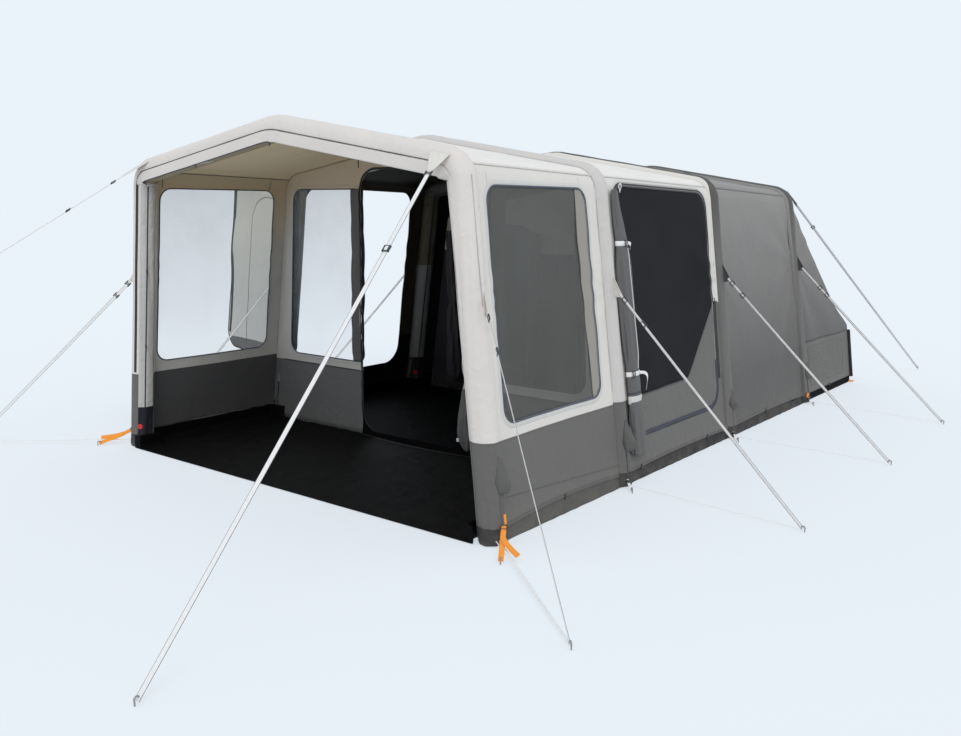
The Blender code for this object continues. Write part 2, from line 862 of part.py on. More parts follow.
def add_valance():
    line = whole_arch(arch_shape(0), 0.0)[1:-1]
    half = valance_wall / 2
    y = arch_places[0]
    top = -sleeve_radius - gap
    mesh = loft_slab("front_valance", [(line, y - half), (line, y + half)], top - valance_drop, top)
    add_part("front_valance", mesh, light_cloth)


def add_valve_caps():
    for index, y in enumerate(arch_places, 1):
        turn = math.radians(cap_facet)
        seat = sleeve_radius * math.cos(math.radians(180.0 / sleeve_sides)) + gap
        lean = leg_leans[index - 1]
        up = Vector((lean, 0.0, 1.0)).normalized()
        out = Vector((-1.0, 0.0, lean)).normalized()
        way = out * math.cos(turn) - Vector((0.0, 1.0, 0.0)) * math.sin(turn)
        centre = leg_point(cap_height, 0.0, -1, lean) + Vector((0.0, y, 0.0))
        frame = Matrix((up.cross(way), up, way)).transposed().to_4x4()
        frame.translation = centre + way * seat
        shape = bmesh.new()
        bmesh.ops.create_cone(shape, cap_ends=True, segments=20, radius1=cap_radius,
                              radius2=cap_radius * cap_taper, depth=cap_depth)
        bmesh.ops.translate(shape, vec=(0.0, 0.0, cap_depth / 2), verts=shape.verts)
        mesh = bpy.data.meshes.new(f"valve_cap_{index}")
        shape.to_mesh(mesh)
        shape.free()
        add_part(f"valve_cap_{index}", mesh, red_plastic, frame)


def add_zip_pulls():
    width, depth, length = pull_size
    lean = leg_leans[0]
    front = leg_point(front_pull_height, panel_inner - gap - depth / 2, -1, lean)
    front.y = front_pull_place
    door = leg_point(door_pull_height, panel_outer + gap + depth / 2, 1)
    door.y = door_pull_place
    for name, side, place, lean in (("front_zip_pull", -1, front, leg_leans[0]),
                                    ("side_door_zip_pull", 1, door, leg_lean)):
        mesh = box_mesh(name, (-depth / 2, -width / 2, -length / 2), (depth / 2, width / 2, length / 2))
        add_part(name, mesh, buckle_plastic, leg_frame(place, side, lean))


# Guy lines

# Where a line starts on a sleeve, and the sleeve's direction there.
def mid_attach(arch, side):
    lean = leg_leans[arch]
    up = Vector((-side * lean, 0.0, 1.0)).normalized()
    start = leg_point(mid_guy_height, sleeve_radius + guy_seat, side, lean)
    start.y = arch_places[arch]
    return start, up


def bend_attach(arch, side, step, turn_degrees, seat):
    x, z, nx, nz = half_arch(arch_shape(arch), 0.0)[1 + step]
    turn = math.radians(turn_degrees)
    out = (sleeve_radius + seat) * math.cos(turn)
    start = Vector((side * (x + nx * out), arch_places[arch], z + nz * out))
    start.y += (sleeve_radius + seat) * math.sin(turn)
    up = Vector((-side * nz, 0.0, nx))
    return start, up


# The line ends inside its peg's head.
def line_foot(peg):
    return peg + Vector((0.0, 0.0, peg_height / 2))


# Axes at a line: along it, across it in the gusset's plane, and square to both.
def line_axes(start, up, peg):
    along = (line_foot(peg) - start).normalized()
    square = along.cross(up).normalized()
    across = square.cross(along)
    return along, across, square


def line_tip(start, peg):
    return start + (line_foot(peg) - start) * gusset_share


def guy_mesh(name, start, up, peg, width):
    along, across, square = line_axes(start, up, peg)
    tip = line_tip(start, peg)
    foot = line_foot(peg)
    flat = [start + up * gusset_half, tip + across * width / 2, foot + across * width / 2,
            foot - across * width / 2, tip - across * width / 2, start - up * gusset_half]
    points = [point + square * guy_wall / 2 for point in flat]
    points += [point - square * guy_wall / 2 for point in flat]
    count = len(flat)
    faces = [tuple(range(count)), tuple(range(2 * count - 1, count - 1, -1))]
    for step in range(count):
        after = (step + 1) % count
        faces.append((step, count + step, count + after, after))
    strap = closed_mesh(name, points, faces)
    half = max(peg_side, width) / 2 + peg_rim
    low = (peg.x - half, peg.y - half, 0.0)
    high = (peg.x + half, peg.y + half, peg_height)
    return combine(strap, box_mesh(name, low, high), "UNION", name)


def slider_mesh(name, width):
    half = (slider_length / 2, width / 2 + slider_rim, slider_depth / 2)
    body = box_mesh(name, [-value for value in half], half)
    slot = (slider_length, width / 2 + gap, guy_wall / 2 + gap)
    return combine(body, box_mesh(name, [-value for value in slot], slot), "DIFFERENCE", name)


# name, attach point, peg on the ground, width, place of the adjuster from the gusset
corner_peg = Vector((1.597, -1.973, 0.0))
left_corner_peg = Vector((-3.46, -2.27, 0.0))
front_peg = Vector((2.551, -0.670, 0.0))
second_peg = Vector((2.802, 1.264, 0.0))
third_peg = Vector((2.800, 2.980, 0.0))
fourth_peg = Vector((2.800, 4.550, 0.0))
rear_peg = Vector((1.980, 7.250, 0.0))


def guy_table():
    rows = []
    for side, side_name in ((1, "right"), (-1, "left")):
        flip = Vector((side, 1.0, 1.0))
        corner = corner_peg if side > 0 else left_corner_peg
        start = bend_attach(0, side, bend_steps, corner_guy_turn, corner_guy_seat)
        rows.append((f"guy_corner_{side_name}", start, corner, corner_guy_width,
                     corner_slider_place))
        for arch, peg in enumerate((front_peg, second_peg, third_peg, fourth_peg)):
            rows.append((f"guy_arch{arch + 1}_{side_name}", mid_attach(arch, side), peg * flip,
                         guy_width, slider_place))
        start = bend_attach(3, side, rear_guy_step, rear_guy_turn, guy_seat)
        rows.append((f"guy_rear_{side_name}", start, rear_peg * flip, guy_width, slider_place))
    return rows


def add_guys():
    for name, (start, up), peg, width, place in guy_table():
        add_part(name, guy_mesh(name, start, up, peg, width), webbing)
        if name in adjusted_guys:
            along, across, square = line_axes(start, up, peg)
            centre = line_tip(start, peg) + along * place
            frame = Matrix((along, across, square)).transposed().to_4x4()
            frame.translation = centre
            slider = name.replace("guy", "adjuster")
            add_part(slider, slider_mesh(slider, width), buckle_plastic, frame)


adjusted_guys = ("guy_corner_right", "guy_arch1_right", "guy_arch2_right")


# Straps at the front feet, run down to the first pegs
def add_foot_straps():
    for side, side_name in ((1, "right"), (-1, "left")):
        name = f"foot_strap_{side_name}"
        start = leg_point(foot_strap_height, sleeve_radius + guy_seat, side, leg_leans[0])
        start.y = arch_places[0]
        peg = Vector((start.x + side * foot_peg_out, arch_places[0] - foot_peg_forward, 0.0))
        up = Vector((-side * leg_leans[0], 0.0, 1.0)).normalized()
        along, across, square = line_axes(start, up, peg)
        foot = line_foot(peg)
        half = foot_strap_width / 2
        flat = [start + up * half, foot + across * half, foot - across * half, start - up * half]
        points = [point + square * guy_wall / 2 for point in flat]
        points += [point - square * guy_wall / 2 for point in flat]
        faces = [(0, 1, 2, 3), (7, 6, 5, 4)]
        for step in range(4):
            after = (step + 1) % 4
            faces.append((step, 4 + step, 4 + after, after))
        strap = closed_mesh(name, points, faces)
        side_half = peg_side / 2 + foot_peg_rim
        box = box_mesh(name, (peg.x - side_half, peg.y - side_half, 0.0),
                       (peg.x + side_half, peg.y + side_half, peg_height))
        add_part(name, combine(strap, box, "UNION", name), orange_webbing)


clear_scene()
make_collections()
add_arches()
add_fly()
add_rear()
add_partition()
add_side_doors()
add_rolls()
add_groundsheets()
add_inner_tent()
add_valance()
add_valve_caps()
add_zip_pulls()
add_guys()
add_foot_straps()
bpy.context.view_layer.update()
print("parts", len(bpy.data.collections[part_collection].objects))
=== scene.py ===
import math

import bpy
import numpy as np
from mathutils import Matrix, Vector


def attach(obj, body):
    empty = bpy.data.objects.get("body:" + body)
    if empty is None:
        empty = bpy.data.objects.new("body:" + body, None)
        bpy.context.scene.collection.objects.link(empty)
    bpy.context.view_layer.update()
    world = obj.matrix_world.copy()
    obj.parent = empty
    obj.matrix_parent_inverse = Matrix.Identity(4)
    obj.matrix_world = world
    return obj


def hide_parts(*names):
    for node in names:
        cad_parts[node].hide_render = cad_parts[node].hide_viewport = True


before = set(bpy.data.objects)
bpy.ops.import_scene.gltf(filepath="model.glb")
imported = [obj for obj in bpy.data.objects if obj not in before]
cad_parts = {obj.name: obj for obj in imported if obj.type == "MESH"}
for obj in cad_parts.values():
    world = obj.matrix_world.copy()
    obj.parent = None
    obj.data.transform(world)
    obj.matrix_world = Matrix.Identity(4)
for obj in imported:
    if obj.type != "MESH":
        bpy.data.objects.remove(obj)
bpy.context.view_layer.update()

print("frame loaded:", len(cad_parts), "nodes")

# Main sizes in metres, the same as the CAD's: X across, Y back from the front arch, Z up
tent = dict(
    footHalf=1.60, leans=(0.1175, 0.1325, 0.1325, 0.155), pitch=0.17, bend=0.12, ridgeBend=0.50,
    arches=(0.085, 1.40, 3.02, 4.69), ridges=(2.167, 2.135, 2.100, 2.050), length=6.00,
    tube=0.075, reach=0.06525, skin=0.0400, cloth=0.0025, hem=0.0703,
    rearEnd=5.9972, rearRidge=0.640, rearBend=0.05, rearPitch=0.03, rearSag=0.42, lowWall=0.525)

sides = ((1, "right"), (-1, "left"))
front, rising, falling = np.array([(0, -1.0, 0), (0, 0, 1.0), (0, 0, -1.0)])


# Shapes: arrays of points, faces and face-corner UVs

def track(*parts):
    # one array of coordinates from numbers and arrays that fit each other's shape
    return np.stack(np.broadcast_arrays(*parts), -1)


def unit(v):
    return v / np.maximum(np.linalg.norm(v, axis=-1, keepdims=True), 1e-9)


def ease(x):
    x = np.clip(x, 0.0, 1.0)
    return x * x * (3 - 2 * x)


def lengths(line):
    # running length along a line of points
    return np.concatenate([[0], np.cumsum(np.linalg.norm(np.diff(line, axis=0), axis=1))])


def placed(line, run, at):
    return np.stack([np.interp(at, run, line[:, axis]) for axis in range(line.shape[1])], -1)


def evenly(line, spacing, closed=False):
    full = np.concatenate([line, line[:1]]) if closed else line
    run = lengths(full)
    count = max(4, int(round(run[-1] / spacing)))
    return placed(full, run, np.linspace(0, run[-1], count + 1))[:count + (not closed)]


def stepped(knots, counts, mirror=False):
    # even steps from each knot to the next, both ends in the count; mirrored about 4 for the other side
    parts = [np.linspace(a, b, count)[:-1] for a, b, count in zip(knots, knots[1:], counts)]
    line = np.concatenate([*parts, knots[-1:]])
    return np.concatenate([line, 8 - line[-2::-1]]) if mirror else line


def around(count):
    return np.arange(count) * 2 * math.pi / count


# A grid of points (rows, cols, 3) as quads, closed on itself by row or by column where asked. Its UV is in
# metres: the running length along its rows and along its columns.
def surface(points, wrapRow=False, wrapCol=False, mat=0):
    rows, cols = points.shape[:2]
    full = np.concatenate([points, points[:1]], 0) if wrapRow else points
    full = np.concatenate([full, full[:, :1]], 1) if wrapCol else full
    along = np.linalg.norm(np.diff(full, axis=0), axis=2).mean(1)
    across = np.linalg.norm(np.diff(full, axis=1), axis=2).mean(0)
    uv = track(np.concatenate([[0.0], np.cumsum(across)])[None, :],
               np.concatenate([[0.0], np.cumsum(along)])[:, None])
    r = np.arange(rows if wrapRow else rows - 1)[:, None]
    c = np.arange(cols if wrapCol else cols - 1)[None, :]
    corners = [np.broadcast_arrays(r + a, c + b) for a, b in ((0, 0), (0, 1), (1, 1), (1, 0))]
    faces = np.stack([(a % rows) * cols + b % cols for a, b in corners], -1).reshape(-1, 4)
    corner = np.stack([uv[a, b] for a, b in corners], 2).reshape(-1, 4, 2)
    return dict(points=points.reshape(-1, 3), faces=[faces], uv=[corner], mat=mat)


def capped(shape, count, uv=None):
    # closes both ends of a tube whose rings have that count of points
    last = len(shape["points"]) - count
    shape["faces"].append(np.array([np.arange(count)[::-1], np.arange(last, last + count)]))
    shape["uv"].append(np.tile(np.zeros((1, count, 2)) if uv is None else uv[None], (2, 1, 1)))
    return shape


# A profile of (side, up) pairs carried along a path; up is the direction that the profile's second
# number follows, side is the path's tangent crossed with it. Open paths get flat end caps.
def sweep(path, up, profile, closed=False, mat=0):
    path = np.asarray(path, float)
    up = np.broadcast_to(np.asarray(up, float), path.shape)
    tangent = unit(np.roll(path, -1, 0) - np.roll(path, 1, 0) if closed else np.gradient(path, axis=0))
    side = unit(np.cross(tangent, up))
    rise = np.cross(side, tangent)
    profile = np.asarray(profile, float)
    points = path[:, None] + side[:, None] * profile[None, :, :1] + rise[:, None] * profile[None, :, 1:]
    shape = surface(points, wrapRow=closed, wrapCol=True, mat=mat)
    return shape if closed else capped(shape, len(profile), profile)


# A flat band along a path: width by thickness with eased edges, standing on its lower face.
def band(path, up, width, thick, lift=0.0, closed=False, mat=0):
    w, e = width / 2, min(thick, width) * 0.35
    return sweep(path, up, [(-w, lift), (w, lift), (w, lift + thick - e), (w - e, lift + thick),
                            (-w + e, lift + thick), (-w, lift + thick - e)], closed, mat)


def roundProfile(radius, flat=1.0):
    return track(radius * np.cos(around(8)), radius * flat * np.sin(around(8)))


def piping(path, up, radius, closed=False):
    return sweep(path, up, roundProfile(radius), closed)


def boxShape(centre, axes, size, ease=0.0015):
    # an eased block: two end faces and eight side corners, turned by axes
    x, y, z = [value / 2 for value in size]
    e = min(ease, x * 0.6, y * 0.6, z * 0.6)
    outline = np.array([(-x + e, -y), (x - e, -y), (x, -y + e), (x, y - e), (x - e, y), (-x + e, y),
                        (-x, y - e), (-x, -y + e)])
    inner = outline * np.array([(x - e) / x, (y - e) / y])
    rings = [track(part[:, 0], part[:, 1], height)
             for part, height in ((inner, -z), (outline, -z + e), (outline, z - e), (inner, z))]
    points = np.array(rings) @ np.asarray(axes, float) + np.asarray(centre, float)
    return capped(surface(points, wrapCol=True), 8, inner)


# Turns a shape's faces round where they point the wrong way: against the direction given, or inwards
# on a closed shape, whose signed volume is then below zero.
def facing(shape, outward=None):
    total = 0.0
    points = shape["points"]
    for block in shape["faces"]:
        for step in range(1, block.shape[1] - 1):
            a, b, c = points[block[:, 0]], points[block[:, step]], points[block[:, step + 1]]
            normal = np.cross(b - a, c - a)
            reach = a - points.mean(0) if outward is None else np.broadcast_to(outward, a.shape)
            total += (reach * normal).sum()
    if total < 0:
        for part in ("faces", "uv"):
            shape[part] = [block[:, ::-1] for block in shape[part]]
    return shape


def intoScene(name, data):
    thing = bpy.data.objects.new(name, data)
    bpy.context.scene.collection.objects.link(thing)
    return thing


# Makes a piece from one shape or more. look names its finish, or two of them: outer and inner, or one for each
# shape's mat. slot is not used.
def makePiece(name, shapes, look, slot=None, body="tent", replaces=(), outward=None, thick=None,
              thickOffset=-1.0):
    shapes = [shapes] if isinstance(shapes, dict) else shapes
    shapes = [facing(shape, outward) if outward is not None or not thick else shape for shape in shapes]
    mesh = bpy.data.meshes.new(name)
    points = np.concatenate([shape["points"] for shape in shapes])
    mesh.vertices.add(len(points))
    mesh.vertices.foreach_set("co", points.astype(np.float32).ravel())
    bases = np.cumsum([0] + [len(shape["points"]) for shape in shapes])
    faces = [block + base for shape, base in zip(shapes, bases) for block in shape["faces"]]
    sizes = np.concatenate([np.full(len(block), block.shape[1]) for block in faces])
    loops = np.concatenate([block.ravel() for block in faces])
    mats = np.concatenate([np.full(len(block), shape["mat"]) for shape in shapes for block in shape["faces"]])
    mesh.loops.add(len(loops))
    mesh.loops.foreach_set("vertex_index", loops.astype(np.int32))
    mesh.polygons.add(len(sizes))
    starts = np.concatenate([[0], np.cumsum(sizes)[:-1]])
    mesh.polygons.foreach_set("loop_start", starts.astype(np.int32))
    mesh.polygons.foreach_set("material_index", mats.astype(np.int32))
    mesh.polygons.foreach_set("use_smooth", np.full(len(sizes), True))
    uv = np.concatenate([corner.reshape(-1, 2) for shape in shapes for corner in shape["uv"]])
    mesh.uv_layers.new(name="metres").data.foreach_set("uv", uv.astype(np.float32).ravel())
    mesh.update(calc_edges=True)
    names = look.split()
    for part in names:
        mesh.materials.append(looks[part])
    piece = intoScene(name, mesh)
    mesh.set_sharp_from_angle(angle=math.radians(50))
    if thick:
        wall = piece.modifiers.new("wall", "SOLIDIFY")
        wall.thickness, wall.offset = thick, thickOffset
        wall.material_offset, wall.material_offset_rim = len(names) - 1, 0
    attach(piece, body)
    if replaces:
        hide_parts(replaces)
    return piece


# Smooth seeded ripples over two coordinates: a sum of seven sines with wavelengths between short and long.
def ripple(u, v, seed, short, long):
    dice = np.random.default_rng(seed)
    total, count = 0.0, 7
    for step in range(count):
        wave = 2 * math.pi / (short * (long / short) ** dice.random())
        turn = dice.random() * math.pi
        phase = dice.random() * 2 * math.pi
        total = total + np.sin(wave * (u * math.cos(turn) + v * math.sin(turn)) + phase)
    return total / math.sqrt(count)


# Form of the fly

# A section's values from its lean, ridge height, shoulder bend and roof pitch: the directions out of leg and
# roof, the shoulder arc's centre and end angles, and the ridge arc's centre.
def sectionOf(lean, ridge, bend, pitch):
    slant, span = np.hypot(1, lean), np.hypot(1, pitch)
    cornerZ = (ridge - pitch * tent["footHalf"]) / (1 - pitch * lean)
    cornerX = tent["footHalf"] - lean * cornerZ
    legX, legZ, roofX, roofZ = 1 / slant, lean / slant, pitch / span, 1 / span
    shrink = bend / (1 + legX * roofX + legZ * roofZ)
    return dict(lean=lean, slant=slant, bend=bend, legX=legX, legZ=legZ, roofX=roofX, roofZ=roofZ,
                cx=cornerX - (legX + roofX) * shrink, cz=cornerZ - (legZ + roofZ) * shrink,
                a0=np.arctan2(lean, 1), a1=np.arctan2(1, pitch), top=ridge - tent["ridgeBend"] * span)


# The fly's section at each y: constant across each sleeve, straight between sleeves, and behind the last
# arch a ridge that falls with a sag, 4 * sag * t * (1 - t) / 4, to the low rear wall.
def section(y):
    y = np.asarray(y, float)
    places = np.array(tent["arches"])
    knots = np.sort(np.concatenate([places - tent["reach"], places + tent["reach"]]))
    lean, ridge = [np.interp(y, knots, np.repeat(tent[key], 2)) for key in ("leans", "ridges")]
    start = places[3] + tent["reach"]
    t = np.clip((y - start) / (tent["rearEnd"] - start), 0, 1)
    ridge = ridge + (tent["rearRidge"] - tent["ridges"][3]) * t - tent["rearSag"] * t * (1 - t)
    return sectionOf(lean + (tent["leans"][1] - tent["leans"][3]) * t, ridge,
                     tent["bend"] + (tent["rearBend"] - tent["bend"]) * t,
                     tent["pitch"] + (tent["rearPitch"] - tent["pitch"]) * t)


# A point of the fly and its outward normal. s runs 0-1 up the right leg, x = foot - lean * z, 1-2 round the
# shoulder's arc, 2-3 up the straight roof, 3-4 round half the ridge's arc, and 4-8 the same on the left.
# out is the distance out from the beams' centre lines, base the height that the legs start at.
def flyPoint(y, s, out=0.0, base=0.0, k=None):
    y, s, out, base = np.broadcast_arrays(*[np.asarray(v, float) for v in (y, s, out, base)])
    k = section(y) if k is None else k
    side = np.where(s > 4, -1.0, 1.0)
    t = np.where(s > 4, 8 - s, s)
    reach, arc, f = k["bend"] + out, tent["ridgeBend"] + out, np.clip(t - 2, 0, 1)
    z = base + (k["cz"] + reach * k["legZ"] - base) * np.clip(t, 0, 1)
    x = tent["footHalf"] + out * k["slant"] - k["lean"] * z
    nx, nz = k["legX"], k["legZ"]
    for start, step, radius, cx, cz in ((1, k["a1"] - k["a0"], reach, k["cx"], k["cz"]),
                                        (3, math.pi / 2 - k["a1"], arc, 0, k["top"])):
        turn = (k["a0"] if start == 1 else k["a1"]) + step * np.clip(t - start, 0, 1)
        x = np.where(t > start, cx + radius * np.cos(turn), x)
        z = np.where(t > start, cz + radius * np.sin(turn), z)
        nx, nz = np.where(t > start, np.cos(turn), nx), np.where(t > start, np.sin(turn), nz)
        if start == 1:
            x = np.where(t > 2, x + (arc * k["roofX"] - x) * f, x)
            z = np.where(t > 2, z + (k["top"] + arc * k["roofZ"] - z) * f, z)
    return track(x * side, y, z), track(nx * side, 0 * nx, nz)


def bayShare(y, lifts=None):
    # 0 at an arch's sleeve edge to 1 at the next one's; with lifts, also the bay's own lift
    places, reach = np.array(tent["arches"]), tent["reach"]
    index = np.clip(np.searchsorted(places, y) - 1, 0, 2)
    start, stop = places[index] + reach, places[np.minimum(index + 1, 3)] - reach
    t = np.clip((y - start) / (stop - start), 0, 1)
    return t if lifts is None else (t, np.array(lifts)[index])


# Pulls on the cloth: y, z, height of the folds, their reach, how many go round, and a phase
pulls = {1: [(4.69, 1.245, 0.007, 0.55, 11, 0.4), (1.40, 1.245, 0.003, 0.28, 9, 0.9),
             (3.02, 1.245, 0.0035, 0.34, 9, 0.2), (0.085, 1.245, 0.002, 0.22, 9, 0.0),
             (4.69, 1.80, 0.005, 0.45, 9, 1.3)],
         -1: [(4.69, 1.245, 0.007, 0.55, 11, 1.4), (1.40, 1.245, 0.003, 0.28, 9, 0.1),
              (3.02, 1.245, 0.0035, 0.34, 9, 0.7), (0.085, 1.245, 0.002, 0.22, 9, 0.5)]}
rearStart = 4.76


# How far the cloth stands off its straight panel: a dip of sin squared between two sleeves, folds that
# fan out of each guy's seat, height * d * exp(1 - d) * cos(count * angle) at d reaches from it, and ripples.
def wallPush(y, z, side):
    t = bayShare(y)
    high = ease((z - 0.10) / 0.5) * ease((1.86 - z) / 0.35)
    push = -0.012 * np.sin(math.pi * t) ** 2 * high * (y < rearStart)
    for py, pz, height, reach, count, phase in pulls[side]:
        d = np.hypot(y - py, z - pz) / reach
        angle = np.arctan2(z - pz, y - py)
        push = push + height * d * np.exp(1 - d) * np.cos(count * angle + phase) * high
    edge = ease(np.minimum(t, 1 - t) / 0.06) * (y < rearStart) + (y >= rearStart) * ease((y - rearStart) / 0.1)
    return push + 0.0013 * ripple(y, z * 0.6, 11 + side, 0.22, 0.9) * edge * high


def roofPush(y, s):
    t = bayShare(y)
    deep = ease((s - 1.5) / 1.2) * ease((6.5 - s) / 1.2) * (y < rearStart)
    edge = ease(np.minimum(t, 1 - t) / 0.05)
    return deep * (-0.020 * np.sin(math.pi * t) ** 2 + 0.0022 * ripple(y * 0.8, s * 0.35, 31, 0.14, 0.6) * edge)


# The same wall by its height: x = foot - lean * z up to the shoulder, then round the shoulder's arc.
def wallPoint(y, z, side, out=0.0, pushed=True):
    y, z, out = np.broadcast_arrays(*[np.asarray(v, float) for v in (y, z, out)])
    out = out + (wallPush(y, z, side) if pushed else 0) + tent["skin"]
    k = section(y)
    reach = k["bend"] + out
    rise = np.clip((z - k["cz"]) / reach, -1, 1)
    x = tent["footHalf"] + out * k["slant"] - k["lean"] * z
    x = np.where(z > k["cz"] + reach * k["legZ"], k["cx"] + reach * np.sqrt(1 - rise * rise), x)
    return track(x * side, y, z)


def wallNormal(y, z, side):
    k = section(y)
    turn = np.maximum(np.arcsin(np.clip((z - k["cz"]) / k["bend"], -1, 1)), k["a0"])
    return track(np.cos(turn) * side, 0 * turn, np.sin(turn))


def seamTop(y):
    # height of the wall's top seam, half way round the shoulder
    k = section(y)
    return k["cz"] + (k["bend"] + tent["skin"]) * np.sin((k["a0"] + k["a1"]) / 2)


# An outline with rounded corners, from (a, b, radius) corners in order, evenly spaced points.
def rounded(corners, spacing=0.02):
    points = []
    total = len(corners)
    for index, (a, b, radius) in enumerate(corners):
        here = np.array([a, b], float)
        before = unit(np.array(corners[index - 1][:2]) - here)
        after = unit(np.array(corners[(index + 1) % total][:2]) - here)
        half = math.acos(float(np.clip(before @ after, -1, 1))) / 2
        tang = radius / math.tan(half)
        middle = here + unit(before + after) * radius / math.sin(half)
        first, last = here + before * tang - middle, here + after * tang - middle
        a0, a1 = math.atan2(first[1], first[0]), math.atan2(last[1], last[0])
        turn = a0 + ((a1 - a0 + math.pi) % (2 * math.pi) - math.pi) * np.linspace(0, 1, 11)
        points.append(middle + radius * track(np.cos(turn), np.sin(turn)))
    return evenly(np.concatenate(points), spacing, True)


def box(low, high, radius):
    # corners of an upright rectangle with one radius, for rounded
    return [(x, z, radius) for x, z in ((low[0], low[1]), (high[0], low[1]), (high[0], high[1]),
                                        (low[0], high[1]))]


def grown(outline, by):
    # the outline moved out by a distance along its own normals in its plane
    edge = unit(np.roll(outline, -1, 0) - np.roll(outline, 1, 0))
    out = track(edge[:, 1], -edge[:, 0])
    return outline + out * by * np.sign(((outline - outline.mean(0)) * out).sum())


def between(inner, outer, shares):
    # rings from an inner outline to an outer one, or to a point, as two grids: across and up
    t = shares[:, None, None]
    return np.moveaxis(inner[None] * (1 - t) + outer * t, -1, 0)


def diskGrid(outline, rings):
    return between(outline, outline.mean(0), np.linspace(0, 0.98, rings))


def filled(points):
    # the surface of a disk's rings, the innermost closed with one face
    shape, count = surface(points, wrapCol=True), points.shape[1]
    shape["faces"].append(np.arange(len(shape["points"]) - count, len(shape["points"]))[None])
    shape["uv"].append(np.zeros((1, count, 2)))
    return shape


# A rectangle's outline with one point for each of a hole's: the hole's points are shared out to the
# rectangle's sides by the corners that they are nearest to.
def outerRing(hole, low, high):
    corners = np.array([(low[0], low[1]), (high[0], low[1]), (high[0], high[1]), (low[0], high[1])])
    centre = (hole.min(0) + hole.max(0)) / 2
    size = (hole.max(0) - hole.min(0)) / 2
    near = [int(np.argmax(((hole - centre) / size) @ np.sign(corner - centre))) for corner in corners]
    outer = np.zeros_like(hole)
    count = len(hole)
    way = 1 if (near[1] - near[0]) % count < count / 2 else -1
    for index in range(4):
        a, b = near[index], near[(index + 1) % 4]
        run = [(a + way * step) % count for step in range((way * (b - a)) % count + 1)]
        length = lengths(hole[run])
        side = corners[(index + 1) % 4] - corners[index]
        outer[run] = corners[index] + side * (length / length[-1])[:, None]
    return outer


# Finishes

def tone(r, g, b):
    # screen colour, 0-255, to the linear values that a shader takes
    c = np.array([r, g, b]) / 255
    return (*np.where(c <= 0.04045, c / 12.92, ((c + 0.055) / 1.055) ** 2.4), 1.0)


def added(tree, kind, inputs, output=0, **settings):
    # one node with its inputs linked or set, giving the wire of an output
    node = tree.nodes.new("ShaderNode" + kind)
    for name, value in settings.items():
        setattr(node, name, value)
    for place, value in inputs.items():
        feed(tree, node.inputs[place], value)
    return Wire(tree, node.outputs[output])


def feed(tree, socket, value):
    if isinstance(value, Wire):
        tree.links.new(value.socket, socket)
    else:
        socket.default_value = value


# An output in a shader's tree; each sign or method on it adds one node and gives that node's output.
class Wire:
    def __init__(self, tree, socket):
        self.tree, self.socket = tree, socket

    def maths(self, operation, a, b=0.0, clamp=False):
        return added(self.tree, "Math", {0: a, 1: b, 2: 0.0}, operation=operation, use_clamp=clamp)

    def __add__(self, other):
        return self.maths("ADD", self, other)

    def __radd__(self, other):
        return self.maths("ADD", other, self)

    def __sub__(self, other):
        return self.maths("SUBTRACT", self, other)

    def __mul__(self, other):
        return self.maths("MULTIPLY", self, other)

    def __gt__(self, other):
        return self.maths("GREATER_THAN", self, other)

    def __abs__(self):
        return self.maths("ABSOLUTE", self)

    def sine(self):
        return self.maths("SINE", self)

    def spread(self, low, high, newLow=0.0, newHigh=1.0):
        return added(self.tree, "MapRange", dict(enumerate((self, low, high, newLow, newHigh))))

    def noise(self, scale, detail=3.0, rough=0.5, distortion=0.0):
        return added(self.tree, "TexNoise", {"Vector": self, "Scale": scale, "Detail": detail,
                                             "Roughness": rough, "Distortion": distortion}, "Fac")


def mixed(tree, factor, a, b, kind="MIX"):
    return added(tree, "Mix", {"Factor": factor, 6: a, 7: b}, 2, data_type="RGBA", blend_type=kind)


def coordinates(tree, kind):
    # the coordinates of that kind and their three parts
    where = added(tree, "TexCoord", {}, kind)
    return where, [added(tree, "SeparateXYZ", {0: where}, part) for part in range(3)]


# A node group from its inputs' labels and values; work makes its outputs by label from the inputs' wires.
def makeGroup(name, inputs, work):
    group = bpy.data.node_groups.new(name, "ShaderNodeTree")
    for label, value in inputs.items():
        kind = "Float" if isinstance(value, float) else "Color"
        group.interface.new_socket(label, in_out="INPUT", socket_type="NodeSocket" + kind).default_value = value
    into = group.nodes.new("NodeGroupInput").outputs
    results = work(group, *[Wire(group, into[label]) for label in inputs])
    for label in results:
        kind = "Color" if label == "Color" else "Float"
        group.interface.new_socket(label, in_out="OUTPUT", socket_type="NodeSocket" + kind)
    out = group.nodes.new("NodeGroupOutput").inputs
    for label, wire in results.items():
        feed(group, out[label], wire)
    return group


# Cloth: a plain weave sin(u) * sin(v) on the UV in metres, broad creases and fine crumple from noise. Its colour
# factor is random tone from noise plus painted shade, darker in the weave's hollows.
def clothWork(tree, threads, weave, crease, size, shade):
    where, (u, v, _) = coordinates(tree, "Object")[0], coordinates(tree, "UV")[1]
    turns = threads * (2 * math.pi)
    weave = (u * turns).sine() * (v * turns).sine() * weave
    ridge = abs(where.noise(size, 2.5, 0.45, 0.6) - 0.5)
    folds = ridge * -7.0 + where.noise(size * 5.0, 3.0, 0.55) * 0.8
    # colour factor: random tone from noise, and painted shade that follows the weave's height
    toneAndShade = (where.noise(1.7, 3.0, 0.6) - 0.5) * 1.2 + weave * 0.5
    return {"Height": folds * crease + weave * 0.2, "Tint": toneAndShade * shade + 1.0}


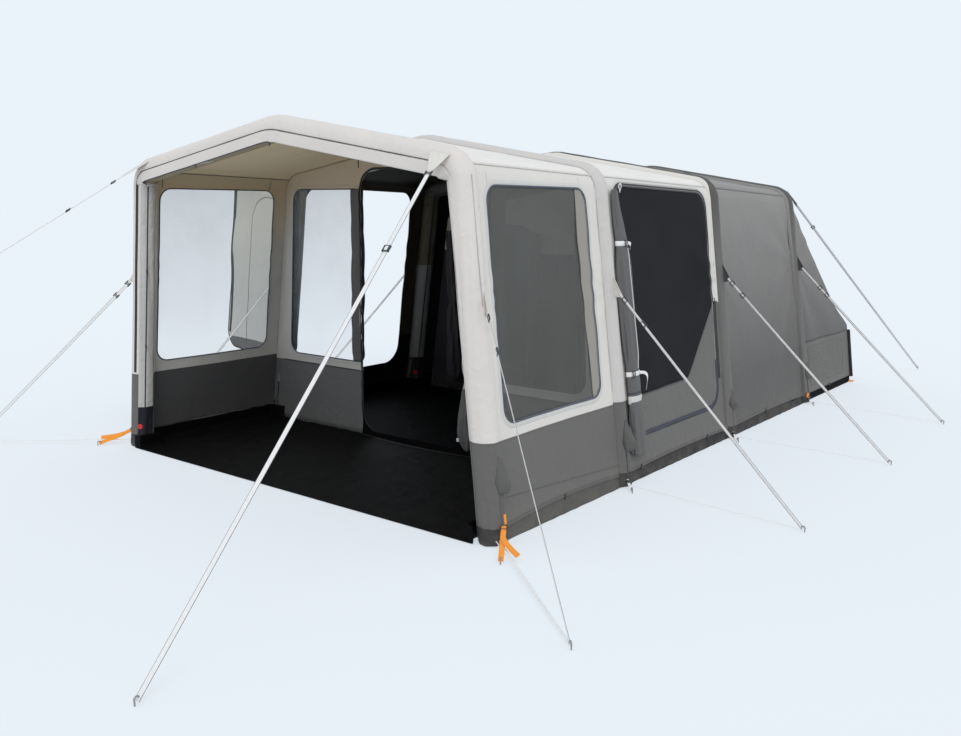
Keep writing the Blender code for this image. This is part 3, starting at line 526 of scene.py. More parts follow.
# Three colours by height, with seams at the two edges: foot, lower cloth, upper cloth.
def bandWork(tree, upper, lower, foot, edge, footEdge, stitch, soft):
    x, y, z = coordinates(tree, "Object")[1]
    colour = mixed(tree, z > footEdge, foot, lower)
    colour = mixed(tree, z.spread(edge, edge + soft), colour, upper)
    gap = z - edge
    groove = abs(gap).spread(0.0, 0.004, 1.0, 0.0) * stitch
    dash = ((x + y) * 1300.0).sine() > -0.2
    stitches = abs(gap + 0.009).spread(0.0005, 0.0015, 1.0, 0.0) * dash * stitch
    dark = (groove + stitches) * 0.45
    return {"Color": mixed(tree, dark, colour, (0.02, 0.02, 0.02, 1.0)), "Seam": stitches - groove}


# Dust and grime: more near the ground, broken up by noise.
def dustWork(tree, colour, dust, amount, reach):
    where, (_, _, z) = coordinates(tree, "Object")
    fall = z.spread(0.0, reach, 1.0, 0.0)
    mask = fall * fall * where.noise(9.0, 5.0, 0.65).spread(0.35, 0.75) * amount
    return {"Color": mixed(tree, mask, colour, dust), "Mask": mask}


# Moulded plastic and metal: fine grain and rubbed patches by noise.
def grainWork(tree, size, colour, rubbed, wear):
    where = coordinates(tree, "Object")[0]
    mask = where.noise(60.0, 4.0, 0.7).spread(0.5, 0.72) * wear
    return {"Height": where.noise(size, 2.0), "Color": mixed(tree, mask, colour, rubbed),
            "Rough": 0.38 + mask * 0.35}


white, black = (1, 1, 1, 1), (0, 0, 0, 1)
groups = dict(
    cloth=makeGroup("clothSurface", {"Threads": 420.0, "Weave": 0.25, "Crease": 1.0, "Crease Size": 7.0,
                                     "Shade": 0.10}, clothWork),
    bands=makeGroup("heightBands", {"Upper": white, "Lower": black, "Foot": black, "Edge": 0.522,
                                    "Foot Edge": 0.09, "Stitch": 1.0, "Soft": 0.001}, bandWork),
    dust=makeGroup("groundDust", {"Color": white, "Dust": tone(150, 140, 125), "Amount": 0.3, "Reach": 0.25},
                   dustWork),
    grain=makeGroup("mouldGrain", {"Size": 900.0, "Color": black, "Rubbed": (0.2, 0.2, 0.2, 1), "Wear": 0.3},
                    grainWork))


def useGroup(tree, name, **values):
    # a group in a look's tree with its inputs given by their labels, footEdge for "Foot Edge"; gives its outputs
    node = tree.nodes.new("ShaderNodeGroup")
    node.node_tree = groups[name]
    given = {key.lower(): value for key, value in values.items()}
    for socket in node.inputs:
        if socket.name.replace(" ", "").lower() in given:
            feed(tree, socket, given[socket.name.replace(" ", "").lower()])
    return {socket.name: Wire(tree, socket) for socket in node.outputs}


def newLook(name):
    look = bpy.data.materials.new(name)
    look.use_nodes = True
    return look, look.node_tree


def finish(look, values, height=None, strength=1.0, distance=1.0):
    # sets the shader's own sockets, and its bump from a height
    tree = look.node_tree
    if height is not None:
        values["Normal"] = added(tree, "Bump", {"Strength": strength, "Distance": distance, "Height": height})
    for label, value in values.items():
        feed(tree, tree.nodes["Principled BSDF"].inputs[label], value)
    return look


def clothLook(name, upper, lower=None, foot=None, edge=-1.0, footEdge=-1.0, rough=0.72, threads=420.0,
              weave=0.3, crease=1.0, creaseSize=7.0, shade=0.10, dust=0.3, reach=0.25, alpha=1.0, sheen=0.07,
              bump=0.5, shine=0.35, soft=0.001, stitch=1.0):
    look, tree = newLook(name)
    cloth = useGroup(tree, "cloth", threads=threads, weave=weave, crease=crease, creaseSize=creaseSize,
                     shade=shade)
    colour, height = upper, cloth["Height"]
    if lower is not None:
        bands = useGroup(tree, "bands", upper=upper, lower=lower, foot=foot or lower, edge=edge,
                         footEdge=footEdge, soft=soft, stitch=stitch)
        colour, height = bands["Color"], height + bands["Seam"] * 0.9
    # the cloth's colour factor, random tone and painted weave shade, as a grey to multiply the colour by
    grey = added(tree, "CombineColor", {part: cloth["Tint"] for part in range(3)})
    dusty = useGroup(tree, "dust", color=mixed(tree, 1.0, colour, grey, "MULTIPLY"), amount=dust, reach=reach)
    rough = dusty["Mask"].maths("ADD", rough, dusty["Mask"] * 0.2, clamp=True)
    return finish(look, {"Base Color": dusty["Color"], "Roughness": rough, "Sheen Weight": sheen,
                         "Sheen Roughness": 0.4, "Specular IOR Level": shine, "Alpha": alpha},
                  height, bump, 0.004)


def filmLook(name, colour, alpha, rough=0.12, high=1.0):
    # window film: faint ripples bend its shine, dust lightens it in patches, and it grows more opaque by "high"
    # towards its top, which darkens the view through its upper part
    look, tree = newLook(name)
    where, (_, _, z) = coordinates(tree, "Object")
    haze = where.noise(2.6, 4.0, 0.55).spread(0.35, 0.7, alpha * 0.88, min(1.0, alpha * 1.10))
    waves = added(tree, "Mapping", {"Scale": (1.0, 1.0, 3.0), "Vector": where}).noise(3.0, 2.0)
    return finish(look, {"Base Color": colour, "Alpha": haze * z.spread(0.7, 1.9, 1.0, high),
                         "Roughness": rough, "IOR": 1.45}, waves, 0.25, 0.02)


def webLook(name, colour, pitch=620.0, shade=0.25):
    # webbing: ribs across its length from the UV, darker between the ribs as painted shade
    look, tree = newLook(name)
    u, v, _ = coordinates(tree, "UV")[1]
    height = (v * (pitch * 2 * math.pi)).sine() * 0.5 + ((u + v) * (pitch * math.pi)).sine() * 0.5
    dark = (*[0.3 * part for part in colour[:3]], 1.0)
    shaded = mixed(tree, height.spread(-1.0, 0.2, shade, 0.0), colour, dark)
    return finish(look, {"Base Color": shaded, "Roughness": 0.6, "Sheen Weight": 0.2}, height, 0.8, 0.0006)


def zipLook(name, tape, teeth, pitch=420.0):
    # zip: a woven tape with a row of teeth along its middle, from the UV across the band
    look, tree = newLook(name)
    u, v, _ = coordinates(tree, "UV")[1]
    tooth = (v * (pitch * math.pi)).sine()
    return finish(look, {"Base Color": mixed(tree, tooth.spread(0.1, 0.5, 0.0, 0.5), tape, teeth),
                         "Roughness": 0.5}, tooth + (u * (pitch * 2 * math.pi)).sine() * 0.3, 0.7, 0.0008)


def mouldLook(name, colour, rubbed, metallic=0.0, wear=0.3):
    look, tree = newLook(name)
    grain = useGroup(tree, "grain", size=900.0, color=colour, rubbed=rubbed, wear=wear)
    return finish(look, {"Base Color": grain["Color"], "Roughness": grain["Rough"], "Metallic": metallic},
                  grain["Height"], 0.3, 0.0004)


light, sleeveTone, grey, foot = tone(214, 208, 200), tone(214, 206, 199), tone(101, 98, 94), tone(50, 48, 48)
sleeveGrey, living, dark, blackTone = tone(98, 95, 92), tone(70, 64, 54), tone(70, 69, 70), tone(20, 20, 22)
liningMid = tone(186, 183, 177)
soft, tape = dict(crease=0.7, sheen=0.05), dict(crease=0.3, threads=700.0, weave=0.6)
blend = dict(stitch=0.0, crease=0.8)
sheetCloth = dict(crease=1.6, creaseSize=4.0, threads=300.0, weave=0.8, shade=0.25, sheen=0.0, bump=0.4)
sleeveEdges = dict(lower=sleeveGrey, foot=foot, edge=0.535, footEdge=0.095, crease=1.3, creaseSize=9.0)

looks = dict(
    wall=clothLook("lightWallCloth", light, grey, foot, 0.522, 0.030),
    # the roofs: the walls' light cloth made lighter, painted light on the roof
    roof=clothLook("lightRoofCloth", tone(224, 218, 211), shade=0.06, creaseSize=5.0, rough=0.6, shine=0.5),
    valance=clothLook("valanceCloth", sleeveTone, shade=0.06, creaseSize=5.0),
    sleeve=clothLook("sleeveCloth", sleeveTone, **sleeveEdges),
    # arch 2's sleeve: the sleeve cloth made darker, painted shade as the light falls off along the side
    sleeve2=clothLook("porchSleevePaintedShade", tone(198, 192, 187), **sleeveEdges),
    bandSleeve=clothLook("darkSleeveCloth", tone(84, 82, 78), tone(104, 101, 98), foot, 1.35, 0.095, soft=0.45,
                         stitch=0.0),
    # bedroom cloth: grey, lighter at the top and darker towards the bottom from 0.45 to 1.8 m as painted light
    # from above, with a dark foot
    bedroom=clothLook("bedroomClothPaintedLight", tone(135, 131, 127), tone(89, 86, 83), foot, 0.45, 0.030, soft=1.35,
                      **blend),
    grey=clothLook("greyCloth", grey, crease=1.2),
    # the porch walls' lining: neutral cloth with a grey foot below the seam; beige above 1.3 m, fading in over
    # 0.5 m, is painted light that comes through the beige roof
    lining=clothLook("liningCloth", tone(196, 176, 142), liningMid, tone(74, 73, 73), 1.30, 0.522, **soft,
                     soft=0.5, stitch=0.0),
    # the living room's wall lining: a dark copy of the porch lining with a black foot, painted shade of the
    # living room
    livingLining=clothLook("livingLiningClothPaintedShade", living, living, blackTone, 1.0, 0.522, crease=0.7, sheen=0.0,
                           shine=0.15, stitch=0.0),
    skirt=clothLook("skirtCloth", tone(76, 74, 71), crease=1.2, sheen=0.0),
    # the roofs' inner face: made a bright beige, painted light that comes through the roof cloth
    roofLining=clothLook("roofLiningCloth", tone(222, 201, 164), **soft),
    darkLining=clothLook("darkLiningCloth", tone(46, 43, 44), rough=0.85, sheen=0.05),
    # the living room's roof inside: a dark copy of the roof lining, painted shade
    ceiling=clothLook("ceilingClothPaintedShade", tone(36, 33, 28), rough=0.85, sheen=0.0, shine=0.15),
    # partition: neutral cloth with a grey foot below its seam; beige above 1.45 m, fading in over 0.45 m, is
    # painted light that comes through the beige roof
    partition=clothLook("partitionClothPaintedRoofLight", tone(186, 170, 147), tone(184, 180, 173), tone(98, 97, 96), 1.45,
                        0.490, soft=0.45, **blend),
    curtain=clothLook("curtainCloth", tone(60, 58, 62), crease=1.2, creaseSize=12.0),
    meshDoor=clothLook("insectMesh", tone(24, 22, 27), threads=260.0, weave=1.2, crease=0.3, shade=0.3,
                       alpha=0.985, dust=0.05, sheen=0.03, shine=0.12),
    film=filmLook("windowFilm", tone(152, 158, 160), 0.070, high=3.5),
    # the right porch window's film: the clear film made darker and more opaque, painted shade of the dark porch
    # seen through it
    tintFilm=filmLook("tintedWindowFilm", tone(88, 86, 81), 0.46, 0.2),
    wallLap=clothLook("wallLapCloth", light, grey, foot, 1.03, 0.030, stitch=0.0),
    # the living room's groundsheet: a darker copy of the porch's, painted shade deep inside
    deepSheet=clothLook("groundsheetPaintedShade", tone(8, 8, 9), rough=0.6, dust=0.0, shine=0.03, **sheetCloth),
    sheet=clothLook("groundsheetCloth", tone(12, 12, 13), rough=0.55, dust=0.02, reach=0.05, shine=0.05,
                    **sheetCloth),
    windowStrip=clothLook("windowStripCloth", tone(148, 142, 133), crease=0.6),
    archUnder=clothLook("archUnderCloth", tone(150, 137, 112), crease=0.7, sheen=0.03),
    # the skirt behind the porch: a darker copy of the skirt's grey, painted shade under the hem
    deepSkirt=clothLook("skirtClothPaintedShade", tone(36, 35, 36), crease=1.2, sheen=0.0),
    gussetGrey=clothLook("gussetCloth", tone(70, 69, 68)),
    rollCloth=clothLook("rolledCloth", tone(93, 91, 90), crease=1.3, creaseSize=9.0),
    # the left door's forward face: a darker copy of the wall cloth, painted shade, darker still towards the
    # bottom, with a grey foot
    doorLining=clothLook("doorFaceClothPaintedShade", tone(204, 201, 189), tone(188, 186, 180), tone(96, 94, 92), 0.9,
                         0.522, crease=1.2, soft=0.6, stitch=0.0),
    windowMesh=clothLook("gatheredMesh", tone(88, 87, 84), creaseSize=10.0),
    creaseTape=clothLook("creaseTape", tone(180, 176, 172), **tape),
    seamTape=clothLook("seamTape", tone(206, 203, 198), **tape),
    darkTape=clothLook("darkTape", dark, **tape),
    slate=clothLook("slatePiping", tone(78, 86, 98), crease=0.2, threads=700.0, weave=0.8, rough=0.55),
    wallGrey=clothLook("pocketCloth", tone(90, 88, 85)),
    innerOut=clothLook("innerTentCloth", tone(190, 180, 160), tone(38, 34, 42), blackTone, 1.32, 0.06,
                       crease=1.2, sheen=0.05),
    innerIn=clothLook("innerTentLining", tone(70, 66, 70), crease=0.8, sheen=0.05),
    beam=clothLook("beamFilm", tone(190, 192, 196), rough=0.35, crease=0.5, weave=0.1, sheen=0.0, dust=0.0),
    web=webLook("whiteWebbing", tone(246, 242, 238), shade=0.12),
    blackWeb=webLook("blackWebbing", blackTone),
    webGrey=webLook("greyWebbing", tone(206, 204, 205), shade=0.05),
    selvedge=webLook("webbingSelvedge", tone(112, 111, 112), shade=0.12),
    orange=webLook("orangeWebbing", tone(255, 156, 22), pitch=400.0),
    navyZip=zipLook("navyZip", tone(52, 57, 74), tone(30, 32, 40)),
    blackZip=zipLook("blackZip", blackTone, tone(60, 60, 62)),
    plastic=mouldLook("bucklePlastic", tone(42, 44, 48), tone(90, 92, 95)),
    redPlastic=mouldLook("valvePlastic", tone(196, 40, 38), tone(225, 120, 110), wear=0.2),
    orangePlastic=mouldLook("orangePlastic", tone(250, 140, 20), tone(255, 190, 120)),
    whitePlastic=mouldLook("whitePlastic", tone(220, 220, 222), tone(240, 240, 240)),
    steel=mouldLook("pegSteel", tone(150, 152, 156), tone(210, 210, 212), metallic=1.0, wear=0.5))

print("finishes made:", len(looks))


# Camera at the photograph's angle: place, then turns from +Y towards -X, up, and round its own axis
view = dict(place=(4.3821, -3.6207, 1.7219), yaw=-37.83, pitch=-9.823, roll=0.0072, lens=35.03)


def addCamera():
    yaw, pitch = math.radians(view["yaw"]), math.radians(view["pitch"])
    ahead = np.array([math.sin(yaw) * math.cos(pitch), math.cos(yaw) * math.cos(pitch), math.sin(pitch)])
    right = np.array([math.cos(yaw), -math.sin(yaw), 0.0])
    up = np.cross(right, ahead)
    c, s = math.cos(view["roll"]), math.sin(view["roll"])
    data = bpy.data.cameras.new("camera")
    data.lens, data.sensor_width, data.sensor_fit = view["lens"], 36.0, "HORIZONTAL"
    data.clip_end = 300.0
    camera = intoScene("camera", data)
    turn = np.eye(4)
    turn[:3] = np.column_stack([right * c + up * s, up * c - right * s, -ahead, view["place"]])
    camera.matrix_world = Matrix(turn.tolist())
    bpy.context.scene.camera = camera


addCamera()

# Room: an even pale sky, one soft sun behind the camera's right shoulder, and a floor of the same colour
room = dict(sky=tone(234, 242, 250), sun=0.95, sunFrom=(0.62, -0.55, 0.95), sunAngle=35.0, floorGlow=0.62,
            floorRings=(0.01, 4.0, 9.0, 30.0, 130.0), floorZ=-0.0015)


def addRoom():
    world = bpy.data.worlds.new("room")
    bpy.context.scene.world = world
    world.use_nodes = True
    world.node_tree.nodes["Background"].inputs[0].default_value = room["sky"]
    sunData = bpy.data.lights.new("softSun", "SUN")
    sunData.energy, sunData.angle = room["sun"], math.radians(room["sunAngle"])
    way = Vector(room["sunFrom"]).normalized()
    intoScene("softSun", sunData).rotation_euler = way.to_track_quat("Z", "Y").to_euler()
    turn = np.linspace(0, 2 * math.pi, 97)[:-1]
    radius = np.array(room["floorRings"])[:, None]
    points = track(radius * np.cos(turn), 1.5 + radius * np.sin(turn), room["floorZ"])
    shape = facing(surface(points, wrapCol=True), rising)
    mesh = bpy.data.meshes.new("floor")
    mesh.from_pydata(shape["points"].tolist(), [], shape["faces"][0].tolist() + [list(range(95, -1, -1))])
    # the floor's own glow and its white under sky and sun add up to the sky's colour
    sky = np.array(room["sky"][:3])
    white = (1 - room["floorGlow"]) * sky / (sky + room["sun"] * way.z / math.pi)
    mesh.materials.append(finish(newLook("paleFloor")[0], {
        "Base Color": (*white, 1.0), "Roughness": 1.0, "Specular IOR Level": 0.0, "Emission Color": room["sky"],
        "Emission Strength": room["floorGlow"]}))
    intoScene("floor", mesh)
    bpy.context.scene.view_settings.view_transform = "Standard"


addRoom()
print("camera and room placed")


# Guy lines: seats on the sleeves, pegs of the right side and the sizes of gussets and webbing
guys = dict(
    half=0.070, share=0.045, cornerShare=0.050, seat=0.0008, thick=0.0018, width=0.020, pegTop=0.015,
    height=1.245,
    pegs={"corner_right": (1.597, -1.973, 0.0), "corner_left": (-3.46, -2.27, 0.0),
          "arch1": (2.551, -0.670, 0.0), "arch2": (2.802, 1.264, 0.0), "arch3": (2.800, 2.980, 0.0),
          "arch4": (2.800, 4.550, 0.0), "rear": (1.980, 7.250, 0.0)},
    buckles={"corner_right": (0.014,), "corner_left": (0.05, 0.40), "arch1_right": (0.022,),
             "arch2_right": (0.035,), "arch4_right": (0.22, 0.31), "rear_right": (0.33,)})


def flipped(place, side):
    return place * np.array([side, 1, 1])


def midSeat(arch, side):
    # outer side of a leg at the guys' height, and the leg's direction there
    lean = tent["leans"][arch]
    x = tent["footHalf"] - lean * guys["height"] + (tent["tube"] + guys["seat"]) * math.hypot(1, lean)
    return (np.array([side * x, tent["arches"][arch], guys["height"]]),
            unit(np.array([-side * lean, 0.0, 1.0])))


def bendSeat(arch, side, share, degrees, seat):
    # a point round the sleeve at its shoulder bend
    line, out = flyPoint(tent["arches"][arch], 1 + share)
    turn, radius = math.radians(degrees), tent["tube"] + seat
    start = line + out * radius * math.cos(turn) + np.array([0, radius * math.sin(turn), 0])
    return flipped(start, side), np.array([-side * out[2], 0.0, out[0]])


def guyRows():
    for side, name in sides:
        pegs = {key: flipped(peg, side) for key, peg in guys["pegs"].items()}
        peg = np.array(guys["pegs"]["corner_" + name])
        yield "corner_" + name, bendSeat(0, side, 1.0, -60.0, 0.0016), peg, 0.027
        for arch in range(4):
            yield f"arch{arch + 1}_{name}", midSeat(arch, side), pegs[f"arch{arch + 1}"], guys["width"]
        yield "rear_" + name, bendSeat(3, side, 2 / 6, 30.0, guys["seat"]), pegs["rear"], guys["width"]


def pegShape(place, toward):
    # a ground peg's head: a bent steel hook on a short shaft, leaning back from its line
    lean = unit(toward * np.array([1, 1, 0]))
    turn = np.linspace(-0.4, math.pi * 1.15, 16)[:, None]
    hook = place + 0.022 * rising + lean * 0.011 * np.cos(turn) + 0.011 * rising * np.sin(turn)
    foot = place + lean * 0.0095 + np.linspace(0, 1, 5)[:, None] * 0.0165 * rising
    return piping(np.concatenate([foot, hook[1:]]), np.cross(lean, rising), 0.0034)


def ladderShape(centre, along, across, square, width):
    # ladder buckle: two rails and four bars
    length, axes = 0.036, [along, across, square]
    rails = [boxShape(centre + across * sign * (width / 2 + 0.004), axes, (length, 0.006, 0.0072))
             for sign in (-1, 1)]
    return rails + [boxShape(centre + along * step * length / 3.4 + square * lift * 0.0024, axes,
                             (0.0048, width + 0.010, 0.0036))
                    for step, lift in ((-1.5, 1), (-0.5, -1), (0.5, -1), (1.5, 1))]


# Gusset: a triangle of cloth from the sleeve to the line's tip, cupped by the pull, with a hem round it.
def gussetShape(start, up, tip, across, width, bow):
    u, v = np.linspace(0, 1, 15)[:, None, None], np.linspace(-1, 1, 17)[None, :, None]
    close = tip + across * v * width / 2 * (1 if np.dot(across, up) > 0 else -1)
    points = (start + up * v * guys["half"]) * (1 - u) + close * u
    swell = bow * np.sin(math.pi * u) * (0.6 * v * v - 0.4) + 0.0016 * np.sin(9 * v + 5 * u) * (1 - u)
    return surface(points + unit(np.cross(tip - start, up)) * swell)


def addGuy(name, start, up, peg, width):
    foot = peg + guys["pegTop"] * rising
    along = unit(foot - start)
    square = unit(np.cross(along, up))
    if "rear" in name:
        # the rear lines' flat sides turn half forward
        ahead = np.array([0.26 if name.endswith("right") else -0.26, -0.95, 0.05])
        square = unit(ahead - along * (ahead @ along))
    across = np.cross(square, along)
    tip = start + (foot - start) * guys["cornerShare" if "corner" in name else "share"]
    path = evenly(np.array([tip - along * 0.02, foot]), 0.07)
    path = path - rising * 0.004 * np.sin(np.linspace(0, math.pi, len(path)))[:, None]
    # webbing with a dark selvedge, but plain at the rear
    plain = name.startswith("rear")
    strap = [band(path, square, width * (1.0 if plain else 0.82), guys["thick"], -guys["thick"] / 2)]
    if not plain:
        strap.append(band(path, square, width, guys["thick"] * 0.5, -guys["thick"] / 4, mat=1))
    line = makePiece("guyline_" + name, strap, ("webGrey" if plain else "web") + " selvedge",
                     replaces="guy_" + name)
    grey = name.startswith(("arch3", "arch4", "rear"))
    makePiece("gusset_" + name, gussetShape(start, up, tip, across, width, 0.006),
              "gussetGrey" if grey else "wall", outward=square, thick=0.0016, thickOffset=0.0)
    extras = [makePiece("peg_" + name, pegShape(peg, along), "steel")]
    for index, spot in enumerate(guys["buckles"].get(name, (0.03, 0.15))):
        extras.append(makePiece(f"buckle_{name}_{index}",
                                ladderShape(tip + along * spot, along, across, square, width), "plastic"))
    adjuster = "adjuster_" + name
    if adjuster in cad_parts:
        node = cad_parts[adjuster]
        extras.append(node)
        centre = np.array([tuple(v.co) for v in node.data.vertices]).mean(0)
        rise = (0.0040 + 0.0012 * np.sin(np.linspace(0, math.pi, 9)))[:, None]
        run = centre + along * np.linspace(-0.0125, 0.0125, 9)[:, None]
        over = [band(run + square * way * rise, square * way, width * 0.62, 0.0012) for way in (1, -1)]
        makePiece("webbingOver_" + name, over, "web", body=adjuster.rsplit("_", 1)[0])


for name, (start, up), peg, width in guyRows():
    addGuy(name, start, up, peg, width)
print("guy lines run")


# Sleeves and their air beams
sleeve = dict(radius=0.0765, seams=(0.535, 0.096), seamDepth=0.0020, seamWidth=0.006, pleat=0.0024,
              bendWrinkle=0.0032, beamRadius=0.0665, around=56)


# Radius of a sleeve at each place s along it and turn round it (0 outward, 90 degrees to the back):
# round, pinched at its cross seams, pleated low on the legs and rucked inside the shoulder bends.
def sleeveRadius(arch, s, turn, z, side):
    r = sleeve["radius"] + 0 * turn
    for height in sleeve["seams"]:
        r = r - sleeve["seamDepth"] * np.exp(-((z - height) / sleeve["seamWidth"]) ** 2) * (s < 1.2)
    leg = ease((1.2 - np.minimum(s, 8 - s)) / 0.3)
    near = 0.35 + np.exp(-((z - 0.13) / 0.16) ** 2) + 0.8 * np.exp(-((z - guys["height"]) / 0.2) ** 2)
    r = r + sleeve["pleat"] * leg * near * np.cos(9 * turn + 2.2 * np.sin(2.6 * z + arch) + side)
    inside = (0.5 - 0.5 * np.cos(turn)) ** 1.5
    bend = np.exp(-((np.minimum(s, 8 - s) - 1.5) / 0.42) ** 2)
    r = r + sleeve["bendWrinkle"] * bend * inside * np.sin(26 * s + 1.2 * np.cos(2 * turn) + arch)
    r = r + 0.0016 * np.exp(-((s - 4.0) / 0.6) ** 2) * inside * np.sin(16 * s)
    r = r + 0.0010 * ripple(s * 0.6, turn * 0.12, 51 + arch, 0.12, 0.6)
    return r - 0.004 * np.exp(-(z / 0.012) ** 2) + 0.003 * np.exp(-((z - 0.03) / 0.02) ** 2)


def ringPoint(arch, s, turn, lift=0.0):
    line, out = flyPoint(tent["arches"][arch], s)
    r = sleeveRadius(arch, s, turn, line[..., 2], np.where(s > 4, -1.0, 1.0)) + lift
    way = out * np.cos(turn)[..., None] - front * np.sin(turn)[..., None]
    return line + way * r[..., None], way


def addArches():
    s = stepped((0, 1, 2, 3, 4), (85, 17, 35, 9), True)
    turn = around(sleeve["around"])
    for arch in range(4):
        points = ringPoint(arch, *np.broadcast_arrays(s[:, None], turn[None, :]))[0]
        # arch 2's sleeve takes the darker copy of the sleeve cloth, painted shade
        makePiece(f"archSleeve{arch + 1}", capped(surface(points, wrapCol=True), len(turn)),
                  ("sleeve", "sleeve2", "bandSleeve", "bandSleeve")[arch], replaces=f"sleeve_{arch + 1}")
        line, out = flyPoint(tent["arches"][arch], s, base=0.012)
        share = 1 - np.minimum(np.arange(len(s)), 6) / 6
        r = sleeve["beamRadius"] * np.sqrt(np.clip(1 - share ** 2, 0.02, 1))
        way = out[:, None] * np.cos(turn[::2, None]) - front * np.sin(turn[::2, None])
        ring = line[:, None] + np.minimum(r, r[::-1])[:, None, None] * way
        makePiece(f"beam{arch + 1}", capped(surface(ring, wrapCol=True), ring.shape[1]), "beam",
                  replaces=f"air_beam_{arch + 1}")


# A band along a sleeve from s = start to stop at one turn round it.
def sleeveBand(arch, start, stop, degrees, width, thick, lift=0.0004, spacing=0.02):
    s = np.linspace(start, stop, 240)
    path, way = ringPoint(arch, s, np.full(len(s), math.radians(degrees)), lift)
    run = lengths(path)
    at = np.linspace(0, run[-1], max(8, int(run[-1] / spacing)))
    return band(placed(path, run, at), unit(placed(way, run, at)), width, thick)


def addSleeveTrim():
    for arch in range(4):
        low, width = (0.30, 0.006) if arch < 2 else (0.03, 0.012)
        shapes = [sleeveBand(arch, low, 8 - low, degrees, width, 0.0011)
                  for degrees in ((57, -57) if arch else (57,))]
        if arch == 0:
            shapes += [sleeveBand(arch, start, stop, -14, 0.005, 0.0014)
                       for start, stop in ((0.66, 1.10), (6.9, 7.34))]
        makePiece(f"sleeveSeams{arch + 1}", shapes, "creaseTape" if arch < 2 else "bandSleeve")
    for name, look, rows in (
            ("frontSeamPiping", "darkTape", [(0, 1.86, 7.0, -98, 0.0045, 0.0030, 0.0002, 0.012)]),
            ("frontLegZip", "blackZip", [(0, 6.96, 7.70, -103, 0.020, 0.0026, 0.0002, 0.012)]),
            ("frontSleeveZip", "navyZip", [(0, 7.0, 7.84, -158, 0.009, 0.0036),
                                          (0, 0.16, 1.0, -158, 0.009, 0.0036)]),
            ("bedroomFrontZip", "blackZip", [(2, 0.02, 7.98, -74, 0.009, 0.0018)]),
            ("innerSleeveZips", "blackZip", [(arch, 0.05, 7.95, -150, 0.014, 0.0018) for arch in (1, 2, 3)])):
        makePiece(name, [sleeveBand(*row) for row in rows], look)


# Covers on the legs' inner sides: a strip of cloth over part of the sleeve, with a dark boot at its foot.
def addLegCovers():
    cover, boot, pale, shadedCover = tone(182, 170, 144), tone(18, 20, 30), tone(132, 132, 131), tone(96, 88, 70)
    for arch, start, stop, edge, high in ((0, -124, -206, 3.0, 1.34), (1, -95, -200, 1.585, 1.5),
                                          (2, -70, -200, 1.175, 1.2)):
        key = f"legCover{arch + 1}"
        # arch 3 takes darker copies of the cover's two colours, painted shade of the dark living room
        looks[key] = clothLook(key, shadedCover if arch == 2 else cover, pale if arch == 2 else liningMid, boot, edge,
                               0.296, crease=1.4, creaseSize=10.0, stitch=0.0)
        for side, name in sides:
            s = stepped((0.02, 0.99, high), (70, 16))
            ss, tt = np.meshgrid(s if side > 0 else 8 - s, np.radians(np.linspace(start, stop, 15)),
                                 indexing="ij")
            points, way = ringPoint(arch, ss, tt, 0.0012)
            makePiece(f"{key}_{name}", surface(points), "sleeve" if arch == 0 and side > 0 else key,
                      "light_cloth", outward=way.mean((0, 1)), thick=0.0010, thickOffset=1.0)


# Cloth that laps over part of a sleeve from s = start to stop, between two turns round it.
def sleeveLap(name, arch, start, stop, turns, look, lift=0.0010, legTurn=0.0):
    s = np.linspace(start, stop, max(20, int(60 * (stop - start))))
    ss, tt = np.meshgrid(s, np.linspace(0, 1, 12), indexing="ij")
    reach = turns[1] - turns[0] + legTurn * ease((1.7 - np.minimum(ss, 8 - ss)) / 0.6)
    points, way = ringPoint(arch, ss, np.radians(turns[0] + reach * tt), lift)
    makePiece(name, surface(points), look, outward=way[len(s) // 2].mean(0), thick=0.0010, thickOffset=1.0)


def addLaps():
    # the ceiling's cloth under the front arch, and the panels' edges up the front of the two rear arches
    sleeveLap("frontArchUnder", 0, 1.30, 6.70, (-112, -246), "archUnder")
    for arch, cloths, end, lifts in ((2, ("wallLap", "wall"), -33, (0.0034, -19)),
                                     (3, ("bedroom", "bedroom"), -38, ())):
        for look, (_, name), start, stop in zip(cloths, sides, (0.03, 4.0), (4.0, 7.97)):
            sleeveLap(f"wallLap{arch + 1}_{name}", arch, start, stop, (-61, end), look, *lifts)


addArches()
addSleeveTrim()
addLegCovers()
addLaps()
print("arches done")


# Roof panels, walls and hems
bays = dict(names=("porch", "living", "bedroom"), hemLift=(0.026, 0.016, 0.014), roofRows=54, wallRings=24)


def bayEnds(bay):
    return tent["arches"][bay] + tent["reach"], tent["arches"][bay + 1] - tent["reach"]


def hemLine(y):
    # the walls' lower edge, lifted between the arches and a little before each arch
    t, lift = bayShare(y, bays["hemLift"])
    return tent["hem"] + lift * np.sin(math.pi * t) ** 0.8 * (np.asarray(y) < rearStart)


def addRoofs():
    s = stepped((1.5, 2, 3, 4), (9, 30, 10), True)
    for bay, name in enumerate(bays["names"]):
        yy, ss = np.meshgrid(np.linspace(*bayEnds(bay), bays["roofRows"]), s, indexing="ij")
        points = flyPoint(yy, ss, tent["skin"] + roofPush(yy, ss))[0]
        # the living room's roof takes the dark ceiling inside, painted shade
        makePiece(name + "Roof", surface(points),
                  ("roof roofLining", "roof ceiling", "bedroom darkLining")[bay],
                  replaces=name + "_roof", outward=rising, thick=tent["cloth"])


openings = dict(
    window=box((0.220, 0.600), (1.205, 1.825), 0.085),
    doorRight=[(1.530, 0.275, 0.03), (2.868, 0.275, 0.16), (2.868, 1.832, 0.12), (1.530, 1.862, 0.12)],
    doorLeft=[(1.530, 0.275, 0.03), (2.785, 0.275, 0.16), (2.785, 1.832, 0.12), (1.530, 1.862, 0.12)])


